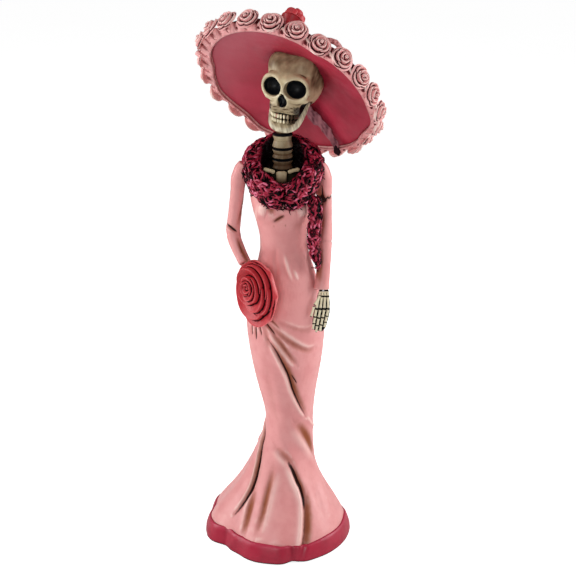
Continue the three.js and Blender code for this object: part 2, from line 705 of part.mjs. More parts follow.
// The brim droops from the crown to its edge: [radius, height of the underside].
const BRIM_SLOPE = [[0, 13.6], [18, 12.8], [30, 9.4], [45, 4.4], [BRIM_RADIUS, 0]];
const brimSlab = (from, to) =>
  turned(
    [
      ...BRIM_SLOPE.map(([r, h]) => [r, h + from]),
      ...BRIM_SLOPE.map(([r, h]) => [r, h + to]).reverse(),
    ],
    44,
  );
const brim = solid(brimSlab(0, BRIM_THICKNESS)).subtract(craniumInHat).subtract(skullInHat);
const aboveBrim = solid(brimSlab(-20, BRIM_THICKNESS + GAP));
add(hat, "hat_brim", geometryOf(brim), COLOUR.hatUnder, 0.6);
const crownBottom = 8;
const crownProfile = [
  [CROWN.radius - CROWN.wall, crownBottom],
  [CROWN.radius, crownBottom],
  [CROWN.radius, 19],
  [CROWN.radius - 2, CROWN.height - 5],
  [CROWN.radius - 7, CROWN.height],
  [0, CROWN.height + 1.5],
  [0, CROWN.height + 1.5 - CROWN.wall],
  [CROWN.radius - 8, CROWN.height - CROWN.wall],
  [CROWN.radius - CROWN.wall - 2, CROWN.height - 6],
];
const overCrown = (profile) =>
  geometryOf(solid(moved(turnedRing(profile, 36), -CROWN.side, CROWN.up, 0)).subtract(aboveBrim));
const bandIn = CROWN.radius + GAP;
const bandBottom = crownBottom - 2;
const bandProfile = [[bandIn, bandBottom], [bandIn + 1.6, bandBottom], [bandIn + 1.2, 19], [bandIn, 19]];
add(hat, "hat_crown", overCrown(crownProfile), COLOUR.palePink, 0.6);
add(hat, "hat_band", overCrown(bandProfile), COLOUR.hem, 0.6);
const edgeIn = BRIM_RADIUS + GAP;
add(
  hat,
  "brim_edging",
  turnedRing(
    [
      [edgeIn, -2.6],
      [EDGING_RADIUS - 0.6, -2.6],
      [EDGING_RADIUS, 2.5],
      [EDGING_RADIUS - 0.6, 7.6],
      [edgeIn, 7.6],
    ],
    44,
  ),
  COLOUR.hem,
  0.6,
);

const smallRose = (radius, depth) =>
  lobed(
    turned(
      [
        [0, 0],
        [radius * 0.6, 0],
        [radius, depth * 0.45],
        [radius * 0.8, depth * 0.9],
        [radius * 0.4, depth],
        [0, depth],
      ],
      12,
    ),
    5,
    0.03,
  );
const standingRose = [
  [0, 0],
  [3, 0],
  [3.2, 4],
  [7, 6.6],
  [8.2, 11.6],
  [7.4, 17.6],
  [5, 19.6],
  [3, 21.4],
  [0, 21.4],
];
const hatRose = add(hat, "hat_rose", lobed(turned(standingRose, 18), 5, 0.03), COLOUR.rose, 0.5);
hatRose.position.set(...around(345, 55.6, 5.2));
const plume = bar(
  [
    around(332, 51, 7.6),
    around(323, 54, 15),
    around(312, 56, 19.6),
    around(302, 55, 15),
    around(294, 51, 7.6),
  ],
  [2.2, 2.6, 2.6, 2.4, 1.8],
  1.1,
  { steps: 12, across: UP },
);
add(hat, "hat_plume", plume, COLOUR.palePink, 0.6);
const ribbonAcross = new THREE.Vector3(...around(290, 1));
const ribbon = solid(
  bar(
    [
      around(172, 24, 9.2),
      around(190, 33, 6.8),
      around(199, 40, 4.4),
      around(199, 48, 2),
      around(200, 56, -0.4),
      around(200, 58.6, -4),
    ],
    [2.4, 2.8, 2.8, 2.6, 2.2, 1.8],
    0.8,
    { steps: 12, across: ribbonAcross },
  ),
).add(solid(moved(ball(2.4, 2.4, 3.4, 10, 8), ...around(200, 59, -5.2))));
add(hat, "hat_ribbon", geometryOf(ribbon.subtract(skullInHat)), COLOUR.ribbon, 0.7);

const bloom = smallRose(BRIM_ROSE.radius, BRIM_ROSE.depth);
for (let i = 0; i < ROSE_COUNT; i++) {
  const angle = 351 - (i * 360) / ROSE_COUNT;
  const name = `brim_rose_${String(i + 1).padStart(2, "0")}`;
  const rose = add(hat, name, bloom.clone(), COLOUR.palePink, 0.5);
  facing(rose, around(angle, EDGING_RADIUS + GAP, BRIM_ROSE.rise), around(angle, 1));
}

export default group;
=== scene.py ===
"""The looks of the papier-mache catrina figure: sculpted skins, roses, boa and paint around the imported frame.

Lengths in this file are millimetres until they are written to a mesh. The figure faces -Y.
"""

import functools
import math
from dataclasses import dataclass

import bpy
import numpy as np
import openvdb
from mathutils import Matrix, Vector
from mathutils.bvhtree import BVHTree


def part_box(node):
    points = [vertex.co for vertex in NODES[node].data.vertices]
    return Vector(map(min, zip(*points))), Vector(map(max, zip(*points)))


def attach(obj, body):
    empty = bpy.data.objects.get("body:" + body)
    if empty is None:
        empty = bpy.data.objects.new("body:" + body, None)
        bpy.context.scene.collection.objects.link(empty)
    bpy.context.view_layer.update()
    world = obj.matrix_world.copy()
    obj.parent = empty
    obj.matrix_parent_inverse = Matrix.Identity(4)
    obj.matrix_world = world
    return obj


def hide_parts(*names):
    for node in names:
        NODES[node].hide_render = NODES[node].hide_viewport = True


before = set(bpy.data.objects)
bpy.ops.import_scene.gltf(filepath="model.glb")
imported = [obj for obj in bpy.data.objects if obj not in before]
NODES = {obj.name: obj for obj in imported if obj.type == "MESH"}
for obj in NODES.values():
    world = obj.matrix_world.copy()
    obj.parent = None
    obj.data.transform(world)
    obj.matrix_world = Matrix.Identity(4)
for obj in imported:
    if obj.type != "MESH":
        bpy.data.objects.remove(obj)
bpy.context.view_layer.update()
MM = 0.001
RANDOM = np.random.default_rng(11)

# ---- Driving dimensions -------------------------------------------------------------
# Gown: wall, and how finely its skin is divided.
GOWN_WALL = 2.2
GOWN_ROWS = 330
GOWN_COLUMNS = 400
GOWN_CAST_ROWS = 200
HEM_TOP = 14.0
HEM_PROUD = 1.7
LEFT_SLEEVE_FULLNESS = 1.22

# Head: half sizes of the cranium, turn and lean in degrees, place of its middle over the floor plan.
CRANIUM = np.array([19.0, 23.5, 20.5])
SKULL_YAW = -24.0
SKULL_ROLL = 4.0
HEAD_PLACE = (13.7, 2.0)
CLAY_STEP = 0.42
TEETH_IN_ROW = 11

# Hat: (radius, height) of the brim's underside, then its parts.
BRIM_SLOPE = [(0, 13.6), (18, 12.8), (30, 9.4), (45, 4.4), (61, 0)]
BRIM_REACH = BRIM_SLOPE[-1][0]
BRIM_THICKNESS = 2.4
EDGE_GAP = 0.3
EDGING_WIDTH = 2.7
ROSE_COUNT = 23
STEM_FOOT = 5.2
STEM_HEIGHT = 11.6
PLUME_DROP = 3.4
HIP_ROSE_REACH = 22.0

# The hem stands out and in: (direction in degrees, amount, spread in degrees).
HEM_WAVES = [(-82, -1.4, 4.5), (-91, 1.1, 6), (-72, 1.1, 7), (-147.5, -1.4, 5.5), (-137, 1.2, 6),
             (-160, 1.2, 8)]

# The brim's edge wanders in and out: (direction in degrees, amount).
EDGE_WAVES = [(99, 2.2), (73, -2.1), (123, -1.8), (138, 2.4), (230, -2.0), (251, 1.6), (321, -2.2)]

# How far the frill reaches out from the brim's edge: (direction in degrees, reach).
FRILL_REACH = [(0, 6), (30, 9), (55, 12.5), (80, 12.5), (98, 8.5), (120, 7), (165, 7), (200, 6.5), (225, 7.5),
               (260, 6), (300, 5), (360, 6)]

# How far the roses stand out from the edging: (direction in degrees, reach).
ROSE_FLARE = [(0, 2), (20, 3), (55, 4.5), (85, 3.5), (110, 0), (330, 0), (360, 2)]

# The ribbon under the brim: (direction in degrees, radius and height in the hat's frame, half width).
RIBBON = [(174, 23, 8.4, 6.4), (188, 33, 6.0, 5.6), (196, 40, 4.2, 4.8), (198, 48, 1.8, 4.0),
          (200, 55, -0.4, 3.2), (200, 58.6, -3.4, 2.4)]

# Camera and soft lights: (name, place, size, power).
CAMERA_PLACE = (8, -879.55, 520.13)
CAMERA_TARGET = (8, 0, 200)
CAMERA_LENS = 79.4
CAMERA_SENSOR = 36
SOFTBOXES = [
    ("left_softbox", (-900, 20, 480), 600, 6.0),
    ("right_softbox", (900, 40, 480), 600, 7.2),
    ("front_softbox", (-300, -1300, 700), 420, 5.2),
    ("top_softbox", (0, 100, 1400), 900, 1.5),
]


# ---- Frame measurements -------------------------------------------------------------
def box(node):
    """Lowest and highest corner of a CAD node."""
    low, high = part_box(node)
    return np.array(low) / MM, np.array(high) / MM


def cad_mesh(*names):
    """Points and triangles of CAD nodes."""
    points, triangles, count = [], [], 0
    for name in names:
        mesh = NODES[name].data
        mesh.calc_loop_triangles()
        co = np.empty(len(mesh.vertices) * 3, np.float32)
        mesh.vertices.foreach_get("co", co)
        corners = np.empty(len(mesh.loop_triangles) * 3, np.int32)
        mesh.loop_triangles.foreach_get("vertices", corners)
        points.append(co.reshape(-1, 3).astype(float) / MM)
        triangles.append(corners.reshape(-1, 3) + count)
        count += len(points[-1])
    return np.concatenate(points), np.concatenate(triangles)


def unit(vector):
    vector = np.asarray(vector, float)
    return vector / np.linalg.norm(vector, axis=-1, keepdims=True)


def about_z(angle):
    """Matrix of a turn about Z."""
    cos, sin = math.cos(angle), math.sin(angle)
    return np.array([[cos, -sin, 0], [sin, cos, 0], [0, 0, 1]])


def head_axes():
    """Rows: the head's left, its back and its top."""
    roll = math.radians(SKULL_ROLL)
    lean = np.array([[math.cos(roll), 0, math.sin(roll)], [0, 1, 0], [-math.sin(roll), 0, math.cos(roll)]])
    return (about_z(math.radians(SKULL_YAW)) @ lean).T


def ring_frame(node):
    """Centre and axes (rows: across, up the slope, out of the crown) of a flat ring-shaped CAD node."""
    points, _ = cad_mesh(node)
    centre = points.mean(0)
    axis = np.linalg.svd(points - centre, full_matrices=False)[2][2]
    axis = axis * np.sign(axis[2])
    across = unit(np.cross([0, 0, 1], axis))
    return centre, np.stack([across, np.cross(axis, across), axis])


POST = sum(box("spine_post")) / 2
HEAD_CENTRE = np.array([*HEAD_PLACE, box("skull")[1][2] - CRANIUM[2]])
HEAD_AXES = head_axes()
EDGING_CENTRE, HAT_AXES = ring_frame("brim_edging")
HAT_CENTRE = EDGING_CENTRE - 2.5 * HAT_AXES[2]
BOA_CENTRE, BOA_AXES = ring_frame("boa_collar")


def in_hat(direction, radius, height):
    """Points of the hat's frame: direction in degrees from up the slope, turning towards +across."""
    angle = np.radians(direction)
    local = np.stack(np.broadcast_arrays(radius * np.sin(angle), radius * np.cos(angle), height), -1)
    return local @ HAT_AXES + HAT_CENTRE


# ---- Numbers ------------------------------------------------------------------------
def blurred(values, sigma, axis, wrap):
    """Gaussian blur along one axis, sigma in cells."""
    reach = int(3 * sigma) + 1
    kernel = np.exp(-((np.arange(-reach, reach + 1) / sigma) ** 2) / 2)
    kernel /= kernel.sum()
    padding = [(0, 0)] * values.ndim
    padding[axis] = (reach, reach)
    padded = np.pad(values, padding, mode="wrap" if wrap else "edge")
    return np.apply_along_axis(lambda line: np.convolve(line, kernel, "valid"), axis, padded)


def smoothstep(values, low, high):
    t = np.clip((values - low) / (high - low), 0, 1)
    return t * t * (3 - 2 * t)


def highest(*masks):
    """The highest of several masks at each point."""
    return functools.reduce(np.maximum, masks)


def around_degrees(direction, place):
    """How far a direction lies past a place, from -180 to 180 degrees."""
    return (np.asarray(direction) - place + 180) % 360 - 180


def ripple(points, scale, seed):
    """Smooth noise of about -1 to 1: a few sines in fixed directions."""
    draw = np.random.default_rng(seed)
    total = np.zeros(points.shape[:-1])
    for octave in range(5):
        direction = unit(draw.normal(size=3)) * (2 * math.pi / scale) * (1 + 0.55 * octave)
        total += np.sin(points @ direction + draw.uniform(0, 6.3)) / (1 + 0.5 * octave)
    return total / 2.2


def curve_through(points, spacing=1.0):
    """A Catmull-Rom line through the points, in steps of about `spacing`."""
    points = np.asarray(points, float)
    ends = np.concatenate([[2 * points[0] - points[1]], points, [2 * points[-1] - points[-2]]])
    line = []
    for p0, p1, p2, p3 in zip(ends, ends[1:], ends[2:], ends[3:]):
        steps = max(2, int(np.linalg.norm(p2 - p1) / spacing))
        t = np.arange(steps)[:, None] / steps
        bend = 2 * p0 - 5 * p1 + 4 * p2 - p3
        twist = 3 * p1 - p0 - 3 * p2 + p3
        line.append(0.5 * (2 * p1 + (p2 - p0) * t + bend * t**2 + twist * t**3))
    return np.concatenate([*line, points[-1:]])


# ---- Meshes -------------------------------------------------------------------------
def grid_faces(rows, columns, closed_rows=False):
    """Quads of a grid whose columns close into a ring."""
    i = np.arange(rows if closed_rows else rows - 1)[:, None]
    j = np.arange(columns)[None, :]
    below, above = i * columns, ((i + 1) % rows) * columns
    right = (j + 1) % columns
    return np.stack([below + j, below + right, above + right, above + j], -1).reshape(-1, 4)


def capped_grid(rings):
    """A closed skin through rings of points (rows, columns, 3), with a fan at each end."""
    rows, columns = rings.shape[:2]
    points = np.concatenate([rings.reshape(-1, 3), [rings[0].mean(0)], [rings[-1].mean(0)]])
    j = np.arange(columns)
    right = (j + 1) % columns
    first, last = rows * columns, rows * columns + 1
    top = (rows - 1) * columns
    first_fan = np.stack([np.full(columns, first), right, j], -1)
    last_fan = np.stack([np.full(columns, last), top + j, top + right], -1)
    return points, [grid_faces(rows, columns), np.concatenate([first_fan, last_fan])]


def joined(parts):
    """Several (points, face lists) as one."""
    points, faces, count = [], {}, 0
    for part_points, part_faces in parts:
        for group in part_faces:
            faces.setdefault(group.shape[1], []).append(group + count)
        points.append(part_points)
        count += len(part_points)
    return np.concatenate(points), [np.concatenate(groups) for groups in faces.values()]


def edges_of(faces):
    """Every edge twice, once in each direction."""
    pairs = np.concatenate([np.stack([group, np.roll(group, -1, 1)], -1).reshape(-1, 2) for group in faces])
    return np.concatenate([pairs, pairs[:, ::-1]])


def smoothed(points, faces, rounds, strength=0.5):
    """Each point moves towards the mean of its neighbours."""
    start, end = edges_of(faces).T
    count = np.maximum(np.bincount(start, minlength=len(points)), 1)
    points = points.copy()
    for _ in range(rounds):
        for axis in range(points.shape[1]):
            mean = np.bincount(start, points[end, axis], len(points)) / count
            points[:, axis] += (mean - points[:, axis]) * strength
    return points


def normals_of(points, faces):
    total = np.zeros_like(points)
    for group in faces:
        corners = points[group]
        across = np.cross(corners[:, 2] - corners[:, 0], corners[:, -1] - corners[:, 1])
        for column in group.T:
            for axis in range(3):
                total[:, axis] += np.bincount(column, across[:, axis], len(points))
    return total / np.maximum(np.linalg.norm(total, axis=1, keepdims=True), 1e-12)


def outward(points, faces):
    """Turns the faces over if the body is inside out."""
    volume = 0.0
    for group in faces:
        corners = points[group]
        for k in range(1, group.shape[1] - 1):
            volume += np.einsum("ij,ij->i", corners[:, 0], np.cross(corners[:, k], corners[:, k + 1])).sum()
    return faces if volume > 0 else [group[:, ::-1] for group in faces]


def hollows(points, faces, rounds):
    """How deep each point lies below its surroundings: above zero in grooves, below on ridges."""
    normals = normals_of(points, outward(points, faces))
    return np.einsum("ij,ij->i", smoothed(points, faces, rounds) - points, normals)


def piece(name, skin, material, body, slot, replaces=(), **paint):
    """A finished piece. `paint`: for each mask, a number from 0 to 1 for all points or for each."""
    points, faces = skin
    faces = outward(points, faces)
    mesh = bpy.data.meshes.new(name)
    corners = np.concatenate([group.ravel() for group in faces])
    sizes = np.concatenate([np.full(len(group), group.shape[1]) for group in faces])
    mesh.vertices.add(len(points))
    mesh.vertices.foreach_set("co", (points * MM).astype(np.float32).ravel())
    mesh.loops.add(len(corners))
    mesh.loops.foreach_set("vertex_index", corners.astype(np.int32))
    mesh.polygons.add(len(sizes))
    mesh.polygons.foreach_set("loop_start", np.concatenate([[0], np.cumsum(sizes)[:-1]]).astype(np.int32))
    mesh.update(calc_edges=True)
    mesh.validate()
    mesh.shade_smooth()
    for mask, values in paint.items():
        filled = np.zeros(len(points), np.float32)
        filled[:] = np.clip(values, 0, 1)
        mesh.attributes.new(mask, "FLOAT", "POINT").data.foreach_set("value", filled)
    mesh.materials.append(material)
    made = bpy.data.objects.new(name, mesh)
    bpy.context.scene.collection.objects.link(made)
    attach(made, body)
    if replaces:
        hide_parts(*replaces)
    return made


def refined(names, voxel, rounds, shrink=0.0):
    """CAD nodes as one even, smoothed skin."""
    points, triangles = cad_mesh(*names)
    grid = openvdb.FloatGrid.createLevelSetFromPolygons(
        points, triangles=triangles.astype(np.uint32),
        transform=openvdb.createLinearTransform(voxel), halfWidth=4,
    )
    points, quads = grid.convertToQuads(-shrink)
    faces = [quads.astype(np.int64)]
    return smoothed(points.astype(float), faces, rounds), outward(points.astype(float), faces)


def tubes(centres, wide, half_wide, half_deep, sides=6):
    """Many oval tubes at once. centres and wide: (tube, step, 3); half widths: (tube, step)."""
    along = unit(np.gradient(centres, axis=1))
    deep = unit(np.cross(along, wide))
    wide = np.cross(deep, along)
    angle = np.arange(sides) / sides * 2 * math.pi
    offset = (
        wide[:, :, None] * (half_wide[..., None] * np.cos(angle))[..., None]
        + deep[:, :, None] * (half_deep[..., None] * np.sin(angle))[..., None]
    )
    rings = centres[:, :, None] + offset
    return joined([capped_grid(ring) for ring in rings])


# ---- Sculpting on a grid ------------------------------------------------------------
class Clay:
    """A solid held as the distance to its surface, below zero inside, on an even grid."""

    def __init__(self, low, high, step):
        axes = [np.arange(a, b, step) for a, b in zip(low, high)]
        self.low, self.step = np.array(low, float), step
        self.at = np.stack(np.meshgrid(*axes, indexing="ij"), -1)
        self.field = np.full(self.at.shape[:-1], 1e3)

    def ball(self, centre, radii):
        local = self.at - np.asarray(centre, float)
        radii = np.asarray(radii, float)
        near = np.linalg.norm(local / radii, axis=-1)
        far = np.linalg.norm(local / radii**2, axis=-1)
        return near * (near - 1) / np.maximum(far, 1e-6)

    def ring(self, centre, axis, reach, thick):
        local, axis = self.at - np.asarray(centre, float), unit(axis)
        along = local @ axis
        return np.hypot(np.linalg.norm(local - along[..., None] * axis, axis=-1) - reach, along) - thick

    def rod(self, start, end, radius, end_radius=None):
        start, end = np.asarray(start, float), np.asarray(end, float)
        line = end - start
        t = np.clip(((self.at - start) @ line) / (line @ line), 0, 1)
        thick = radius + (radius if end_radius is None else end_radius) * t - radius * t
        return np.linalg.norm(self.at - start - t[..., None] * line, axis=-1) - thick

    def add(self, distance, soft):
        blend = np.clip(0.5 + 0.5 * (distance - self.field) / soft, 0, 1)
        self.field = distance * (1 - blend) + self.field * blend - soft * blend * (1 - blend)

    def cut(self, distance, soft):
        blend = np.clip(0.5 - 0.5 * (distance + self.field) / soft, 0, 1)
        self.field = self.field * (1 - blend) - distance * blend + soft * blend * (1 - blend)

    def skin(self, rounds=2):
        grid = openvdb.FloatGrid(1e3)
        grid.copyFromArray(self.field.astype(np.float32))
        points, quads = grid.convertToQuads(0.0)
        faces = [quads.astype(np.int64)]
        points = points.astype(float) * self.step + self.low
        return smoothed(points, faces, rounds), outward(points, faces)


# ---- Paint --------------------------------------------------------------------------
def node(tree, kind, **inputs):
    made = tree.nodes.new(kind)
    for name, value in inputs.items():
        made.inputs[name.replace("_", " ")].default_value = value
    return made


def mixed(tree, factor, below, above):
    """The colour socket of `above` laid over `below` by `factor`; colours are sockets or RGB triples."""
    mix = tree.nodes.new("ShaderNodeMix")
    mix.data_type = "RGBA"
    for socket, value in ((mix.inputs["Factor"], factor), (mix.inputs[6], below), (mix.inputs[7], above)):
        if isinstance(value, bpy.types.NodeSocket):
            tree.links.new(value, socket)
        elif isinstance(value, (int, float)):
            socket.default_value = value
        else:
            socket.default_value = (*value, 1)
    return mix.outputs[2]


def noise(tree, scale, detail=4.0, stretch=(1, 1, 1)):
    """Noise in the frame's coordinates, `scale` features to the metre."""
    place = tree.nodes.new("ShaderNodeTexCoord")
    mapping = node(tree, "ShaderNodeMapping", Scale=stretch)
    made = node(tree, "ShaderNodeTexNoise", Scale=scale, Detail=detail)
    tree.links.new(place.outputs["Object"], mapping.inputs["Vector"])
    tree.links.new(mapping.outputs["Vector"], made.inputs["Vector"])
    return made.outputs["Fac"]


def ranged(tree, socket, low, high, bottom=0.0, top=1.0, kind="LINEAR"):
    """The socket's range low to high, spread over bottom to top."""
    made = node(tree, "ShaderNodeMapRange", From_Min=low, From_Max=high, To_Min=bottom, To_Max=top)
    made.interpolation_type = kind
    tree.links.new(socket, made.inputs["Value"])
    return made.outputs["Result"]


def ramp(tree, socket, low, high, top=1.0):
    """The socket's range low to high, spread smoothly over 0 to top."""
    return ranged(tree, socket, low, high, top=top, kind="SMOOTHSTEP")


def masked(tree, name, low=0.0, high=1.0, brush=0.0, scale=400):
    """A paint mask, its range low to high spread over 0 to 1 and broken up by noise, as a brush leaves it."""
    attribute = tree.nodes.new("ShaderNodeAttribute")
    attribute.attribute_name = name
    broken = tree.nodes.new("ShaderNodeMath")
    broken.operation = "MULTIPLY_ADD"
    tree.links.new(noise(tree, scale, 5.0, (1, 1, 0.35)), broken.inputs[0])
    broken.inputs[1].default_value = 2 * brush
    tree.links.new(attribute.outputs["Fac"], broken.inputs[2])
    return ramp(tree, broken.outputs[0], low + brush, high + brush)


def srgb(*values):
    """Eight-bit colour values as linear light."""
    return tuple(v / 255 / 12.92 if v < 11 else ((v / 255 + 0.055) / 1.055) ** 2.4 for v in values)


def new_material(name):
    """A material, its node tree and its surface node."""
    material = bpy.data.materials.new(name)
    material.use_nodes = True
    return material, material.node_tree, material.node_tree.nodes["Principled BSDF"]


def emboss(tree, surface, height, strength, distance):
    """Fine relief that the height socket draws on a surface; distance in metres."""
    relief = node(tree, "ShaderNodeBump", Strength=strength, Distance=distance)
    tree.links.new(height, relief.inputs["Height"])
    tree.links.new(relief.outputs["Normal"], surface.inputs["Normal"])


def painted(name, colours, roughness=0.42, coat=0.06, grain=900, bump=0.12, mottle=70):
    """Brushed paint: base mottled with shade, then the light, brown and dark masks laid over it; these carry
    painted highlights, painted shade and painted shadow besides the paint's own washes and lines.
    """
    material, tree, surface = new_material(name)
    base, shade, wash, ink, light = (srgb(*colour) for colour in colours)
    colour = mixed(tree, ramp(tree, noise(tree, mottle), 0.38, 0.72, 0.75), base, shade)
    colour = mixed(tree, ramp(tree, noise(tree, mottle * 4, 6.0), 0.5, 0.8, 0.25), colour, shade)
    colour = mixed(tree, masked(tree, "light"), colour, light)
    colour = mixed(tree, masked(tree, "wash", 0.0, 1.0, 0.14, 300), colour, wash)
    colour = mixed(tree, masked(tree, "ink", 0.2, 0.75, 0.14, 500), colour, ink)
    tree.links.new(colour, surface.inputs["Base Color"])
    rough = ranged(tree, noise(tree, mottle * 3), 0.3, 0.7, roughness - 0.08, roughness + 0.1)
    tree.links.new(rough, surface.inputs["Roughness"])
    surface.inputs["Coat Weight"].default_value = coat
    surface.inputs["Coat Roughness"].default_value = 0.3
    # The brown paint and painted shade in the hollows are left matt.
    sheen = ranged(tree, masked(tree, "wash"), 0.0, 1.0, 0.36, 0.04)
    tree.links.new(sheen, surface.inputs["Specular IOR Level"])
    emboss(tree, surface, noise(tree, grain, 6.0), bump, 0.0006)
    return material


# Colours in eight-bit values: base, shade, brown, dark, light; the brown and dark also serve as painted shade
# and painted shadow, the light as painted highlight.
GOWN_PAINT = painted(
    "gown_paint", [(232, 158, 156), (222, 142, 141), (150, 84, 56), (42, 10, 6), (252, 208, 200)]
)
HEM_PAINT = painted(
    "hem_paint", [(172, 26, 56), (150, 18, 46), (92, 10, 26), (36, 6, 12), (205, 66, 96)], coat=0.1
)
UNDERSIDE_PAINT = painted(
    "underside_paint", [(182, 46, 70), (160, 36, 56), (104, 14, 30), (50, 8, 16), (190, 86, 100)],
    coat=0.0, mottle=45,
)
PALE_PAINT = painted(
    "pale_paint", [(236, 170, 168), (224, 142, 142), (124, 34, 40), (44, 8, 12), (255, 226, 216)], mottle=180
)
ROSE_PAINT = painted(
    "rose_paint", [(200, 52, 60), (182, 36, 48), (96, 8, 18), (34, 2, 6), (232, 116, 118)], mottle=160
)
BONE_PAINT = painted(
    "bone_paint", [(206, 190, 152), (176, 152, 118), (84, 58, 38), (8, 10, 15), (240, 230, 198)], mottle=170
)
BOA_PAINT = painted(
    "boa_paint", [(176, 28, 62), (136, 14, 42), (44, 4, 14), (10, 2, 5), (232, 118, 150)],
    roughness=0.36, mottle=260,
)
RIBBON_PAINT = painted(
    "ribbon_paint", [(138, 74, 86), (112, 58, 68), (62, 34, 42), (20, 12, 14), (164, 100, 108)],
    roughness=0.75, coat=0.0, grain=2600, bump=0.5, mottle=300,
)


# ---- Folds --------------------------------------------------------------------------
@dataclass
class Fold:
    """A crease or drape on the front of the figure, along a line of (x, z) points."""

    line: list
    # How deep the valley is (below zero: a ridge) and half its width.
    depth: float
    width: float
    # Height of the cloth's edge beside it, on the left (-1) or right (1) going along the line.
    lip: float = 0.0
    side: int = 1
    # Brown, dark and light paint along it: the brown partly the paint's own and partly painted shade beside the
    # crease, the dark a painted shadow in its valley, the light a painted highlight on the cloth's edge; the
    # brown has a width and a side of its own.
    wash: float = 0.0
    wash_width: float = 0.0
    wash_side: float = 0.0
    ink: float = 0.0
    # shine: a painted highlight along the line itself, such as the top of a ridge.
    shine: float = 0.0

    def __post_init__(self):
        self.wash_width = self.wash_width or self.width * 1.6


def on_front(points, normals, line):
    """The (x, z) line laid on the front of a skin."""
    front = points[normals[:, 1] < 0.2]
    laid = []
    for x, z in line:
        nearest = np.argmin((front[:, 0] - x) ** 2 + (front[:, 2] - z) ** 2)
        laid.append([x, front[nearest, 1], z])
    return curve_through(laid, 0.8)


def folded(points, normals, folds):
    """How far the folds push each point out along its normal, and their wash, ink and light masks."""
    push, wash, ink, light = (np.zeros(len(points)) for _ in range(4))
    for fold in folds:
        line = on_front(points, normals, fold.line)
        reach = 4 * max(fold.width, fold.wash_width) + 2
        near = np.flatnonzero(np.all((points > line.min(0) - reach) & (points < line.max(0) + reach), axis=1))
        if not len(near):
            continue
        gaps = points[near][:, None] - line[None]
        nearest = np.argmin((gaps**2).sum(-1), axis=1)
        gap = gaps[np.arange(len(near)), nearest]
        tangent = unit(np.gradient(line, axis=0))[nearest]
        sideways = unit(np.cross(tangent, normals[near]))
        across = (gap * sideways).sum(-1)
        past_end = (gap * tangent).sum(-1)
        distance = np.sqrt(across**2 + past_end**2) * np.where(across < 0, -1, 1)
        t = nearest / (len(line) - 1)
        taper = np.sqrt(np.clip(np.sin(np.pi * np.clip(t, 0.02, 0.98)), 0, 1))
        valley = np.exp(-((distance / fold.width) ** 2))
        beside = np.exp(-(((distance * fold.side - 1.7 * fold.width) / (1.3 * fold.width)) ** 2))
        push[near] += taper * (fold.lip * beside - fold.depth * valley)
        shaded = distance - fold.wash_side * 0.8 * fold.wash_width
        wash[near] = np.maximum(wash[near], fold.wash * taper * np.exp(-((shaded / fold.wash_width) ** 2)))
        line_only = np.exp(-((distance / (0.7 * fold.width)) ** 4))
        ink[near] = np.maximum(ink[near], fold.ink * np.sqrt(taper) * line_only)
        painted_light = np.maximum(min(1.0, 0.7 * abs(fold.lip)) * beside, fold.shine * valley)
        light[near] = np.maximum(light[near], taper * painted_light)
    return push, wash, ink, light
